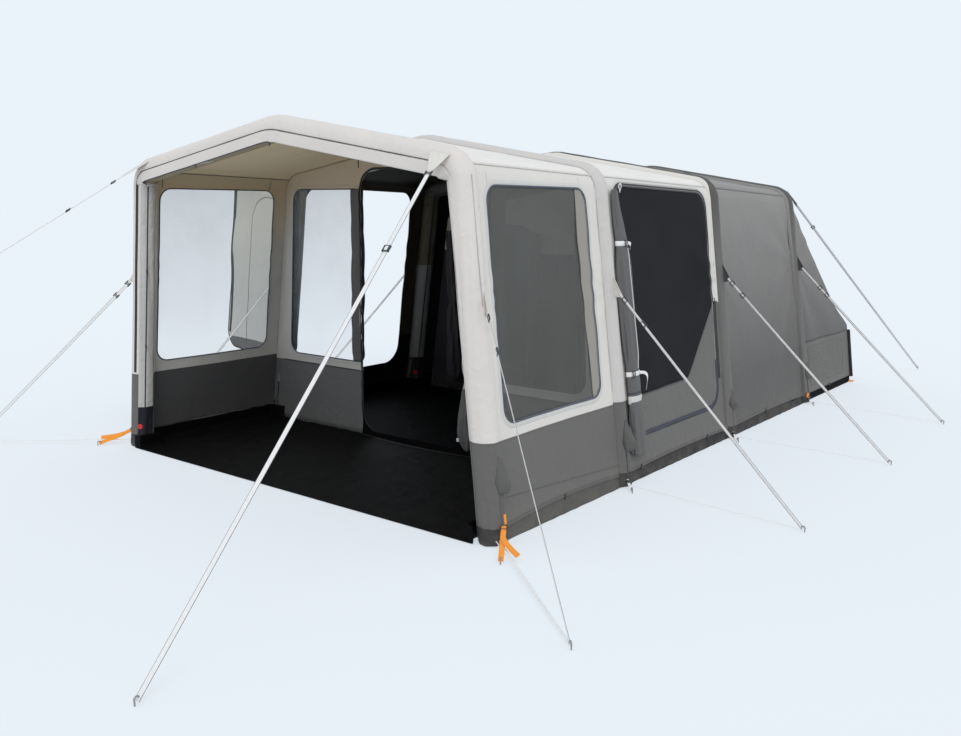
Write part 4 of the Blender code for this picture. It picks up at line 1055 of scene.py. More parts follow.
def wallAround(key, start, stop, side):
    # the wall round an opening, in rings from the opening's edge to the seam, the hem and the sleeves
    hole, high = rounded(openings[key], 0.016), 1.9
    outer = outerRing(hole, (start, tent["hem"]), (stop, high))
    for edge, line in ((outer[:, 1] > high - 1e-6, seamTop), (outer[:, 1] < tent["hem"] + 1e-6, hemLine)):
        outer[edge, 1] = line(outer[edge, 0])
    y, z = between(hole, outer, np.linspace(0, 1, bays["wallRings"]) ** 1.15)
    return surface(wallPoint(y, z, side), wrapCol=True)


def addWalls():
    for side, sideName in sides:
        for bay, name in enumerate(bays["names"]):
            start, stop = bayEnds(bay)
            if bay < 2:
                shape = wallAround(("window", "doorRight" if side > 0 else "doorLeft")[bay], start, stop, side)
            else:
                y, t = np.linspace(start, stop, 90)[None, :], np.linspace(0, 1, 100)[:, None]
                shape = surface(wallPoint(y, hemLine(y) + (seamTop(y) - hemLine(y)) * t, side))
            # the living room's walls take the dark lining inside, painted shade
            makePiece(f"{name}Wall_{sideName}", shape,
                      ("wall lining", "wall livingLining", "bedroom darkLining")[bay],
                      replaces=f"{name}_wall_{sideName}", outward=(side, 0, 0), thick=tent["cloth"])


# A band on a wall along a path of (y, z), standing out by lift; on the wall's inner face where way is -1,
# and round, with width as its radius, where it has no thickness.
def wallBand(path, side, width, thick, lift=0.0003, closed=False, way=1):
    y, z = path.T if isinstance(path, np.ndarray) else np.broadcast_arrays(*path)
    points, normal = wallPoint(y, z, side, lift), wallNormal(y, z, side) * way
    return band(points, normal, width, thick, closed=closed) if thick else piping(points, normal, width, closed)


def addWindows():
    outline = rounded(openings["window"])
    for side, sideName in sides:
        y, z = diskGrid(grown(outline, 0.004), 20)
        sag = -0.003 - 0.0035 * ripple(y, z, 77 + side, 0.5, 1.3)
        edge = ease(np.linspace(0, 1, 20)[:, None] * 4)
        points = wallPoint(y, z, side, -0.0016 + sag * edge)
        # the right pane takes the darkened film, painted shade of the porch behind it
        makePiece("porchPane_" + sideName, filled(points), "film" if side < 0 else "tintFilm",
                  replaces="porch_window_" + sideName, outward=(side, 0, 0), thick=0.0008)
        rim = [wallBand(grown(outline, by), side, radius, 0, lift, True)
               for by, radius, lift in ((0.004, 0.0042, 0.0008), (0.001, 0.0036, -0.0042))]
        makePiece("windowPiping_" + sideName, rim, "slate")
        if side > 0:
            # a pale strip down the window's rear edge, with a dark edge of its own
            z = np.linspace(0.600, 1.822, 50)
            y0 = 1.100 + 0.012 * np.sin(3 * z)
            y1 = 1.205 - np.interp(z, (0.60, 0.66, 1.76, 1.822), (0.060, 0.004, 0.004, 0.050))
            strip = wallPoint(y0 + (y1 - y0) * np.linspace(0, 1, 8)[:, None], z, side, -0.0012)
            makePiece("windowStrip", surface(strip), "windowStrip", outward=(1, 0, 0), thick=0.0004)
            makePiece("windowStripEdge", wallBand((y0, z), side, 0.007, 0.0012, -0.0014), "darkTape")
        makePiece("windowHem_" + sideName, wallBand(grown(outline, 0.020), side, 0.024, 0.0011, 0.0004, True),
                  "seamTape")


def addSeams():
    # flat seams: top of the walls, foot of the light band, and hems with a dark tape
    inside = dict(thick=0.0014, lift=-0.0031, way=-1)
    for side, sideName in sides:
        light, dark, lining = [], [], []
        for bay in range(3):
            y = np.linspace(*bayEnds(bay), 60)
            top = (y, seamTop(y) - 0.004)
            (light if bay < 2 else dark).append(wallBand(top, side, 0.016, 0.0012))
            dark.append(wallBand((y, hemLine(y) + 0.009), side, 0.020, 0.0014))
            if bay == 0:
                dark.append(wallBand((y, 0.226 - 0.082 * bayShare(y)), side, 0.005, 0.0012))
                lining.append(wallBand(top, side, 0.006, **inside))
        for y in (0.235, 1.16):
            path = (y, np.linspace(1.832, 1.895, 8))
            light.append(wallBand(path, side, 0.008, 0.0012))
            lining.append(wallBand(path, side, 0.005, **inside))
        makePiece("wallSeamsLight_" + sideName, light, "seamTape")
        makePiece("wallSeamsDark_" + sideName, dark, "bedroom")
        makePiece("liningSeams_" + sideName, lining, "darkTape", "light_cloth")
    ridge = []
    for bay in range(2):
        y = np.linspace(*bayEnds(bay), 50)
        out = tent["skin"] + roofPush(y, np.full(50, 4.0)) + 0.0003
        ridge.append(band(*flyPoint(y, 4.0, out), 0.014, 0.0011))
    makePiece("roofSeams", ridge, "seamTape")


addRoofs()
addWalls()
addWindows()
addSeams()
print("fly done")


# Rear fly and its low wall
rear = dict(rows=70, backHem=0.075)


def rearGrid():
    # the falling roof and side panels, with ripples on the roof and drags that run down from the ridge
    s = stepped((0, 1, 2, 3, 4), (46, 12, 30, 9), True)
    start, stop = tent["arches"][3] + tent["reach"], tent["rearEnd"]
    yy, ss = np.meshgrid(start + (stop - start) * np.linspace(0, 1, rear["rows"]), s, indexing="ij")
    plain = flyPoint(yy, ss, tent["skin"], tent["lowWall"])[0]
    t = (yy - start) / (stop - start)
    onLeg = ease((1.3 - np.minimum(ss, 8 - ss)) / 0.3)
    push = np.where(ss < 4, wallPush(yy, plain[..., 2], 1), wallPush(yy, plain[..., 2], -1)) * onLeg
    fade = ease(t / 0.08) * ease((1 - t) / 0.08)
    push = push + (1 - onLeg) * 0.0045 * ripple(yy * 0.6, plain[..., 0], 91, 0.25, 0.9) * fade
    drag = np.sin(9 * (plain[..., 0] - 0.25 * yy)) * 0.003 * np.sin(math.pi * t) * (1 - onLeg)
    return flyPoint(yy, ss, tent["skin"] + push * fade + drag, tent["lowWall"])[0]


def addRear():
    makePiece("rearFly", surface(rearGrid()), "bedroom darkLining", replaces="rear_fly", outward=(0, 0.3, 1),
              thick=tent["cloth"])
    y = np.linspace(tent["arches"][3] + tent["reach"], tent["rearEnd"], 60)[None, :]
    z = tent["hem"] + (tent["lowWall"] + 0.004 - tent["hem"]) * np.linspace(0, 1, 24)[:, None]
    shapes = [facing(surface(wallPoint(y, z, side)), (side, 0, 0)) for side, _ in sides]

    def halfAt(z):
        return tent["footHalf"] + tent["skin"] * 1.009 - tent["leans"][1] * z

    # back wall: x = u * half width at that height, z from the hem to the fly's last section
    edge = flyPoint(tent["rearEnd"], np.linspace(0.9, 7.1, 200), tent["skin"], tent["lowWall"])[0]
    share = edge[:, 0] / halfAt(edge[:, 2])
    order = np.argsort(share)
    u = np.linspace(-1, 1, 91)[None, :]
    top = np.interp(u, share[order], edge[order, 2])
    z = rear["backHem"] + (top - rear["backHem"]) * np.linspace(0, 1, 26)[:, None]
    x = u * halfAt(z)
    bow = 0.006 * ripple(x, z * 0.6, 95, 0.2, 0.9) * (1 - u ** 8)
    shapes.append(facing(surface(track(x, tent["length"] - 0.001 + bow * 0.8, z)), (0, 1, 0)))
    makePiece("rearLowWall", shapes, "grey darkLining", replaces="rear_low_wall", thick=tent["cloth"])


addRear()
print("rear done")


# Valance of the front arch: a flat panel that hangs from the seam on the sleeve's face to just below the
# sleeve, and lies round the sleeve where it runs into the legs
valance = dict(start=0.99, top=-0.016, foot=-0.0800, face=0.0782, thick=0.0016, wrap=(-101.0, -160.0))


def addValance():
    s = stepped((valance["start"], 2, 3, 4), (40, 60, 14), True)
    ss, vv = np.meshgrid(s, np.linspace(0, 1, 12), indexing="ij")
    # the panel's ends run in slantwise
    near = np.minimum(ss, 8 - ss) - valance["start"]
    ss = ss + np.where(ss < 4, 1, -1) * 0.24 * vv * (1 - ease(near / 0.7))
    lift = -0.0006 + 0.0046 * ease((near - 0.04) / 0.30)
    line, out = flyPoint(tent["arches"][0], ss)
    wave = (0.0016 * np.sin(ss * 9) + 0.0010 * ripple(ss, vv * 0.1, 5, 0.15, 0.5)) * vv
    panel = line + out * (valance["top"] + (valance["foot"] - valance["top"]) * vv)[..., None]
    panel[..., 1] -= valance["face"] + 0.0006 * vv + wave
    start, stop = valance["wrap"]
    wrap = ringPoint(0, ss, np.radians(start + (stop - start) * vv), lift)[0]
    points = wrap + (panel - wrap) * ease((np.minimum(ss, 8 - ss) - 1.0) / 0.6)[..., None]
    makePiece("frontValance", surface(points), "valance roofLining", replaces="front_valance", outward=front,
              thick=valance["thick"], thickOffset=0.0)
    edge, half = points[:, -1], len(points) // 2
    makePiece("valancePiping", piping(edge[:half + 1], out[:half + 1, -1], 0.0020), "seamTape")
    makePiece("valanceZip", piping(edge[half:], out[half:, -1], 0.0034), "navyZip")
    bits = []
    for index in (int(np.argmin(np.abs(s - place))) for place in (3.88, 5.52)):
        bits += clipShapes(edge[index] + np.array([0, -0.002, -0.010]), falling, front, (0.020, 0.009, 0.006))
    makePiece("valanceToggles", bits, "plastic")


# A small moulded clip: body, hook and button, along and out giving its two directions.
def clipShapes(centre, along, out, size=(0.030, 0.020, 0.009)):
    axes, (length, width, depth) = [along, unit(np.cross(out, along)), out], size
    return [boxShape(centre, axes, size, 0.003),
            boxShape(centre + along * length * 0.62, axes, (length * 0.35, width * 0.62, depth * 0.7), 0.002),
            boxShape(centre - along * length * 0.2 + out * depth * 0.55, axes,
                     (length * 0.4, width * 0.5, depth * 0.3), 0.001)]


# Partition between the porch and the living room: a middle panel with the door, and two with a window
partition = dict(
    y=1.3235, skin=0.036, split=(-0.594, 0.545), floor=0.006, footX=1.495, thick=0.0025, legEnd=150,
    door=box((-0.578, 0.035), (0.420, 1.975), 0.15),
    window=[(1.3798, 0.560, 0.085), (0.610, 0.560, 0.02), (0.610, 1.835, 0.02), (1.2999, 1.835, 0.085)])


def partitionPush(x, z):
    # shallow folds that run down from the roof and fan from the door's corners
    hang = 0.004 * np.sin(14 * x + 1.5 * np.sin(3 * z)) * ease((z - 0.2) / 0.6) * ease((2.0 - z) / 0.3)
    return hang + 0.002 * ripple(x, z * 0.5, 61, 0.12, 0.5)


def windowOutline(side, spacing=0.02):
    return rounded([(side * x, z, r) for x, z, r in partition["window"]], spacing)


def roomLine():
    # the line of the cloth above the partition: up the leg, then from its end on over half the roof
    line = flyPoint(1.38, np.linspace(0, 4, 400), partition["skin"])[0]
    return line[:partition["legEnd"]], line[partition["legEnd"]:]


def partitionTop(x):
    roof = roomLine()[1]
    return np.interp(-np.abs(x), -roof[:, 0], roof[:, 2])


def sidePanel(side):
    # the outer outline of a window's panel: out to the leg's line, up to the roof's, down to the floor
    leg, roof = roomLine()
    inner, far, high = partition["split"][side > 0], 2.0, 2.3
    low, top = sorted((inner, side * far))
    outer = outerRing(windowOutline(side, 0.016), (low, partition["floor"]), (top, high))
    onSide = np.abs(outer[:, 0]) > far - 0.01
    away = (outer[~onSide, 0] - low) / (top - low)
    reach = (roof[0, 0] - abs(inner)) * (away if side > 0 else 1 - away)
    outer[~onSide, 0] = side * (abs(inner) + reach)
    z = np.maximum(outer[onSide, 1] / high * roof[0, 2], partition["floor"])
    full = np.interp(z, leg[:, 2], leg[:, 0])
    outer[onSide, 1] = z
    outer[onSide, 0] = side * (partition["footX"] + (full - partition["footX"]) * ease((z - 0.02) / 0.12))
    onFloor = ~onSide & (outer[:, 1] < partition["floor"] + 1e-6)
    outer[onFloor, 0] = np.clip(outer[onFloor, 0], -partition["footX"], partition["footX"])
    return outer


def addPartition():
    shapes = []
    for side in (-1, 0, 1):
        hole = windowOutline(side, 0.016) if side else rounded(partition["door"], 0.016)
        left, right = partition["split"]
        outer = sidePanel(side) if side else outerRing(hole, (left, partition["floor"]), (right, 2.3))
        up = outer[:, 1] > 2.2999
        outer[up, 1] = partitionTop(outer[up, 0])
        outer[:, 1] = np.minimum(outer[:, 1], partitionTop(outer[:, 0]))
        t = np.linspace(0, 1, 16) ** 1.1
        x, z = between(hole, outer, t)
        push = partitionPush(x, z) * np.sin(math.pi * t)[:, None]
        points = track(x, partition["y"] - 0.001 + push, z)
        shapes.append(facing(surface(points, wrapCol=True), front))
    makePiece("partition", shapes, "partition partition", replaces="partition_wall", thick=partition["thick"])


def onPartition(x, z, lift, width, thick, closed=False):
    # a flat band on the partition's front face, or piping where it has no thickness
    path = track(x, partition["y"] - lift, z)
    return band(path, front, width, thick, closed=closed) if thick else piping(path, front, width, closed)


def addPartitionTrim():
    for side, name in sides:
        outline = windowOutline(side)
        x, z = diskGrid(grown(outline, 0.003), 16)
        y = partition["y"] + 0.0008 + 0.002 * ripple(x, z, 65 + side, 0.5, 1.3)
        makePiece("partitionPane_" + name, filled(track(x, y, z)), "film",
                  replaces="partition_window_" + name, outward=front, thick=0.0008)
        makePiece("partitionPiping_" + name, onPartition(*grown(outline, 0.003).T, 0.003, 0.0045, 0, True),
                  "slate")
        makePiece("partitionHem_" + name, onPartition(*grown(outline, 0.019).T, 0.0022, 0.020, 0.0011, True),
                  "partition")
    x, z = grown(rounded(partition["door"]), 0.007).T
    wave = 0.0022 * np.sin(np.arange(len(x)) * 0.9)
    makePiece("partitionDoorZip", onPartition(x, z, 0.0035 - wave, 0.016, 0.0022, True), "blackZip")
    # a dark strip of gathered mesh down the left window's inner edge, up to the door's zip
    x, z = np.linspace(-0.672, -0.590, 14)[None, :], np.linspace(0.556, 1.840, 60)[:, None]
    fold = 0.0030 * np.sin(90 * x + 2 * np.sin(4 * z))
    makePiece("partitionStrip", surface(track(x, partition["y"] - 0.0085 + fold, z)), "windowMesh",
              outward=front, thick=0.0010)
    seams = [onPartition(x, np.linspace(1.99, float(partitionTop(x)) - 0.01, 12), 0.0032, 0.010, 0.0011)
             for x in partition["split"]]
    seams += [onPartition(np.linspace(x0, x1, 40), 0.490, 0.0050, 0.009, 0.0011)
              for x0, x1 in ((-1.47, -0.60), (0.55, 1.47))]
    makePiece("partitionSeams", seams, "darkTape", "light_cloth")


# A gathered curtain: cloth drawn into a narrow upright bundle, its folds running down and drifting sideways.
def curtainShape(x, y, low, high, width, depth, seed, lean=0.0, ties=(), swell=0.0):
    z = np.linspace(low, high, 70)[:, None]
    turn = around(48)[None, :]
    pinch = 1 - sum(0.35 * np.exp(-((z - tie) / 0.05) ** 2) for tie in ties)
    belly = swell * np.exp(-((z - low - 0.16) / 0.16) ** 2)
    share = (z - low) / (high - low)
    fold = 1 + 0.20 * np.cos(6 * turn + 7 * z + seed) + 0.09 * np.cos(11 * turn - 9 * z + 2 * seed)
    tip = np.sqrt(np.clip(1 - (1 - np.minimum(share, 0.06) / 0.06) ** 2, 0.05, 1))
    size = fold * (pinch + belly) * tip / 2
    shift = 0.006 * np.sin(4 * z + seed) - 0.03 * belly
    return capped(surface(track(x + width * size * np.cos(turn) + shift + lean * (z - low),
                                y + depth * size * np.sin(turn), z), wrapCol=True), 48)


def addCurtains():
    y = partition["y"] + 0.030
    for side, name in sides:
        shapes = [curtainShape(side * 1.385, y, 0.55, 1.85, 0.046, 0.026, 1.0 + side, -side * 0.060),
                  curtainShape(side * 0.650, y, 0.54, 1.86, 0.110, 0.040, 3.0 + side)]
        makePiece("windowCurtains_" + name, shapes, "curtain")
    tag = boxShape((0.402, partition["y"] - 0.068, 0.125), np.eye(3), (0.026, 0.003, 0.026))
    makePiece("partitionDoorTag", tag, "web")
    x, y, heights = 0.4680, partition["y"] - 0.0375, (0.55, 1.35)
    makePiece("partitionDoorBundle", curtainShape(x, y, 0.05, 1.90, 0.088, 0.062, 5.0, 0.0, heights, 0.45),
              "partition", "grey_cloth", replaces="partition_door_roll")
    c, s = np.cos(around(32)), np.sin(around(32))
    ties = [band(track(x + 0.034 * c + 0.006 * math.sin(4 * z + 5), y + 0.0255 * s, z), track(c, s, 0), 0.022,
                 0.0018, closed=True) for z in heights]
    makePiece("partitionDoorTies", ties, "web")


addValance()
addPartition()
addPartitionTrim()
addCurtains()
print("partition done")


# Right side door: insect mesh above a cloth foot, with its zips; it swings on the side_door body
sideDoor = dict(mesh=[(1.545, 0.523, 0.03), (2.400, 0.535, 0.10), (2.862, 1.020, 0.04), (2.862, 1.824, 0.115),
                      (1.545, 1.854, 0.11)], hinge=1.5385, hemFoot=dict(right=1.03, left=0.53))


def matched(*outlines):
    # closed outlines with the same count of points, from the corner at the lower front
    count = max(map(len, outlines))
    for line in outlines:
        line = np.roll(line, -int(np.argmin(line[:, 0] + line[:, 1])), 0)
        line = np.concatenate([line, line[:1]])
        run = lengths(line)
        yield placed(line, run, np.linspace(0, run[-1], count + 1)[:-1])


def addRightDoor():
    # the hinge edge keeps clear of the wall's edge when the door swings in
    door = grown(rounded(openings["doorRight"], 0.018), -0.002)
    door[:, 0] = np.maximum(door[:, 0], sideDoor["hinge"])
    inner, outer = matched(rounded(sideDoor["mesh"], 0.018), door)
    onDoor = dict(body="side_door", outward=(1, 0, 0))
    y, z = diskGrid(inner, 22)
    push = -0.005 - 0.004 * ripple(y * 0.4, z, 81, 0.25, 0.8)
    points = wallPoint(y, z, 1, -0.0014 + push * ease(np.linspace(0, 1, 22) * 3)[:, None])
    makePiece("sideDoorMesh", filled(points), "meshDoor", replaces="side_door_mesh", thick=0.0008, **onDoor)
    t = np.linspace(0, 1, 12)
    y, z = between(inner, outer, t)
    push = 0.002 * ripple(y, z, 83, 0.15, 0.5) * np.sin(math.pi * t)[:, None]
    points = wallPoint(y, z, 1, push - 0.0008)
    makePiece("sideDoorCloth", surface(points, wrapCol=True), "grey darkLining", thick=0.0012, **onDoor)
    makePiece("sideDoorMeshEdge", wallBand(inner, 1, 0.008, 0.0012, 0.0, True), "darkTape", body="side_door")
    low = outer[(outer[:, 1] < 0.62) & (outer[:, 0] > 1.62)]
    low = low[np.argsort(np.arctan2(low[:, 1] - 0.9, low[:, 0] - 2.2))]
    makePiece("sideDoorFootZip", wallBand(low, 1, 0.024, 0.0022, 0.0006), "navyZip", body="side_door")


def doorFrameTrim(key, side, name):
    outline = rounded(openings[key], 0.018)
    zipBands = [wallBand(grown(outline, 0.007), side, 0.013, 0.0022, 0.0004, True)]
    if side > 0:
        zipBands.append(wallBand((2.900, np.linspace(0.47, 1.04, 30)), side, 0.042, 0.0026))
        margin = wallBand((2.942, np.linspace(0.50, 1.04, 30)), side, 0.042, 0.0012)
        makePiece("sideDoorMargin", margin, "grey")
    makePiece(f"sideDoorZip_{name}", zipBands, "blackZip")
    rim = grown(outline, 0.028)
    high = rim[:, 1] > sideDoor["hemFoot"][name]
    rim = np.roll(rim, -int(np.argmax(high & ~np.roll(high, 1))), 0)[:int(high.sum())]
    makePiece(f"sideDoorHem_{name}", wallBand(rim, side, 0.026, 0.0012), "seamTape")


# Left door: the cloth panel in its doorway, turned about its hinge line at the front of the opening
leftDoor = dict(open=78.0, hingeY=1.5309, hingeZ=0.275, mid=0.0388)


def leftTurned(points):
    lean, turn = tent["leans"][1], math.radians(leftDoor["open"])
    up, back = unit(np.array([lean, 0.0, 1.0])), -front
    out = np.cross(back, up)
    x = tent["footHalf"] - lean * leftDoor["hingeZ"] + leftDoor["mid"] * math.hypot(1, lean)
    origin = np.array([-x, leftDoor["hingeY"], leftDoor["hingeZ"]])
    a, b, c = [((points - origin) @ axis)[..., None] for axis in (out, back, up)]
    return (origin + (a * math.cos(turn) - b * math.sin(turn)) * out
            + (a * math.sin(turn) + b * math.cos(turn)) * back + c * up)


def leftPanel(y, z, lift=0.0):
    # a point of the door's cloth: folds that grow from the hinge, 1.53 m back, and ripples
    push = (0.010 * np.sin(5.5 * (y - 1.53) + 0.7 * z) * ease((y - 1.53) / 0.5)
            + 0.005 * ripple(y, z * 0.4, 87, 0.15, 0.5) * ease((y - 1.53) / 0.3))
    return leftTurned(wallPoint(y, z, -1, push + lift, pushed=False))


def addLeftDoor():
    outline = grown(rounded(openings["doorLeft"], 0.018), -0.003)
    # the door's forward face takes the darker copy of the wall cloth, painted shade
    makePiece("leftDoor", filled(leftPanel(*diskGrid(outline, 26))), "wall doorLining", body="left_door",
              replaces="left_door_panel", outward=-front, thick=0.0012)
    # the seam runs back under the top and then down, its corner softened by a running mean
    y = np.concatenate([np.linspace(1.95, 2.30, 16), np.full(49, 2.44)])
    z = np.concatenate([np.full(16, 1.70), np.linspace(1.70, 0.30, 50)[1:]])
    y, z = [np.convolve(np.pad(part, 6, "edge"), np.ones(13) / 13, "valid") for part in (y, z)]
    y, z = evenly(track(y, z), 0.02).T
    normal = leftTurned(np.array([-1.0, 0, 0])) - leftTurned(np.zeros(3))
    seam = [band(leftPanel(y, z, lift), normal * way, 0.007, 0.0012)
            for lift, way in ((-0.0030, -1), (0.0006, 1))]
    edge = sweep(leftPanel(*grown(outline, -0.0080).T, -0.0006), normal, roundProfile(0.0075, 0.5), True)
    # black zip tape along the free edge
    tape = leftPanel(outline[:, 0].max() - 0.031, np.linspace(0.40, 1.72, 50), -0.0006)
    makePiece("leftDoorSeams", seam, "darkTape", "light_cloth", body="left_door")
    makePiece("leftDoorEdge", [edge, band(tape, normal, 0.056, 0.0050, -0.0025)], "blackZip", body="left_door")


addRightDoor()
doorFrameTrim("doorRight", 1, "right")
doorFrameTrim("doorLeft", -1, "left")
addLeftDoor()
print("doors done")


# The outer side door, rolled towards its hinge and tied with two straps
roll = dict(y=1.557, half=0.085, out=0.0693, depth=0.029, low=0.190, high=1.815, straps=(0.690, 1.500),
            strapWidth=0.030, around=72, rows=150)


def rollRing(z, turn, extra=0.0, folded=1.0):
    # an oval with soft folds: width * (1 + wave) * cos, depth * (1 + wave) * sin, drawn in at each strap
    near = np.min([np.abs(z - tie) for tie in (*roll["straps"], 0.545)], 0)
    free = ease((near - 0.016) / 0.13)
    wave = folded * free * (0.085 * (np.cos(5 * turn + 1.7 * z) - 1) + 0.035 * np.cos(9 * turn - 5 * z)
                            + 0.02 * np.cos(3 * turn + 8 * z))
    wave = wave + folded * (1 - free) * 0.02 * np.cos(14 * turn)
    slim = 1 - 0.58 * ease((z - 1.40) / 0.42)
    width = roll["half"] * (0.86 + 0.14 * free) * slim
    depth = roll["depth"] * (0.80 + 0.24 * free) * (0.4 + 0.6 * slim)
    drift = 0.008 * np.sin(3.1 * z + 0.6) * folded * free
    y = roll["y"] - 0.9 * roll["half"] * (1 - slim) + (width * (1 + wave) + extra) * np.cos(turn) + drift
    out = roll["out"] + (depth * (1 + wave) + extra) * np.sin(turn)
    k = section(roll["y"])
    return track(tent["footHalf"] + out * k["slant"] - k["lean"] * z, y, z)


def addRoll():
    turn, count = around(roll["around"]), roll["around"]
    body = rollRing(np.linspace(roll["low"], roll["high"], roll["rows"])[:, None], turn[None, :])
    caps = []
    for ring, way in ((body[0], -1), (body[-1], 1)):
        for share in (0.93, 0.80, 0.62, 0.42, 0.20):
            spiral = share * (1 + 0.10 * np.cos(turn * 2 + share * 16))
            part = ring.mean(0) + (ring - ring.mean(0)) * spiral[:, None]
            part[:, 2] = ring[:, 2] + way * (0.016 * math.sqrt(1 - share ** 2)
                                             + 0.004 * np.cos(turn + share * 18))
            caps.append(part)
    points = np.concatenate([np.array(caps[:5])[::-1], body, np.array(caps[5:])])
    makePiece("rolledDoor", capped(surface(points, wrapCol=True), count), "rollCloth",
              replaces="side_door_roll")

    def ringBand(height, width, thick, *extra):
        ring = rollRing(np.full(count, height), turn, *extra)
        return band(ring, unit(ring - ring.mean(0)), width, thick, closed=True)

    makePiece("rolledDoorBand", ringBand(0.528, 0.050, 0.0012, 0.0008), "seamTape")
    makePiece("rolledDoorZip", ringBand(0.570, 0.008, 0.0016, 0.0008), "navyZip", "light_cloth")
    edge = rollRing(np.linspace(0.72, 1.47, 60), math.radians(62), 0.0012)
    makePiece("rolledDoorPiping", piping(edge, (1.0, 0.3, 0.1), 0.0035), "seamTape")
    outward, across = np.array([0.99, 0.0, 0.13]), -front
    t = np.linspace(0, 1, 26)[:, None]
    for name, height, place, out, back, drop in (("Lower", roll["straps"][0], 116, 0.024, 0.090, 0.125),
                                                 ("Upper", roll["straps"][1], 82, 0.008, 0.022, 0.040)):
        makePiece("rollStrap" + name, ringBand(height, roll["strapWidth"], 0.0018, 0.0006, 0.0), "web",
                  replaces="roll_strap_" + name.lower())
        at, start = [rollRing(np.array([height]), math.radians(degrees), 0.002, 0.0) for degrees in (place, 48)]
        square = unit(np.cross(outward, across))
        makePiece("rollBuckle" + name, ladderShape(at[0] + outward * 0.0032, across, square, outward, 0.026),
                  "plastic")
        tail = (start + outward * (0.003 + out * np.sin(math.pi * t) * (1 - 0.4 * t))
                + across * back * np.sin(t * 1.6) + falling * drop * t ** 2.2)
        makePiece("rollStrapTail" + name, band(tail, np.cross(np.gradient(tail, axis=0), (0, 0.2, 1.0)), 0.020,
                                               0.0014), "web")
    loop = np.linspace(0, 2 * math.pi, 28)[:-1]
    top = np.array([rollRing(np.array([1.80]), 1.2)[0, 0] - 0.006, 1.560, 1.838])
    path = top + track(0.004 * np.sin(loop * 2), 0.010 * np.cos(loop), 0.026 * np.sin(loop))
    makePiece("rollTopTie", band(path, (1.0, 0, 0), 0.008, 0.0016, closed=True), "web")


addRoll()
print("rolled door done")


# Groundsheets: a floor with soft creases, and a rim that stands up inside the walls and dips in round each foot
tray = dict(floor=0.0044, rim=0.098, wallX=1.6335, footX=1.497, thick=0.0022, join=1.3215, front=-0.012,
            back=5.985, foldX=(-0.8, 0.05, 0.85), foldY=(0.65, 1.9, 2.9, 4.1, 5.2))


# Across the tent, u runs -1 to 1: the rim's height falls from its top to a small corner radius, then the
# floor lies flat with creases, h = sum of sines plus narrow fold lines.
def trayGrid(front, back, rows, seed, backRim=False):
    y, t = np.linspace(front, back, rows)[:, None], np.linspace(0, 1, 13)[None, :]
    near = np.min([np.abs(y - place) for place in tent["arches"]], 0)
    half = tray["wallX"] - (tray["wallX"] - tray["footX"]) * ease((0.115 - near) / 0.030)
    left = -half + 0.010 * t ** 6 + tent["leans"][1] * tray["rim"] * (1 - t)
    leftZ = tray["floor"] + (tray["rim"] - tray["floor"]) * (1 - t ** 0.9) + 0 * y
    flat = np.linspace(-1, 1, 150)[1:-1] * (half - 0.014)
    crease = 0.0011 * ripple(flat, y, seed, 0.25, 1.1) + 0.0012 * ripple(flat, y * 0.5, seed + 1, 0.10, 0.4)
    for line in tray["foldX"]:
        crease = crease + 0.0022 * np.exp(-((flat - line - 0.03 * np.sin(3 * y)) / 0.012) ** 2)
    for line in tray["foldY"]:
        crease = crease + 0.0020 * np.exp(-((y - line - 0.02 * np.sin(2.5 * flat)) / 0.012) ** 2)
    x = np.concatenate([left, flat, -left[:, ::-1]], 1)
    z = np.concatenate([leftZ, tray["floor"] + np.clip(crease + 0.0012, 0, 0.006), leftZ[:, ::-1]], 1)
    z = z + 0.003 * np.sin(26 * y + 3 * np.sin(5 * y)) * ease((z - 0.03) / 0.05)
    points = track(x, y, z)
    if backRim:
        # the last rows turn up the back wall
        turn = np.linspace(0, 1, 14)[1:, None]
        endZ = np.maximum(z[-1], tray["floor"] + (tray["rim"] - tray["floor"]) * turn)
        points = np.concatenate([points, track(x[-1], back + 0.008 * np.sin(turn * math.pi / 2), endZ)])
    return points


def addSheet(name, points, look, node):
    piece = makePiece(name, surface(points), look, replaces=node, outward=rising, thick=tray["thick"])


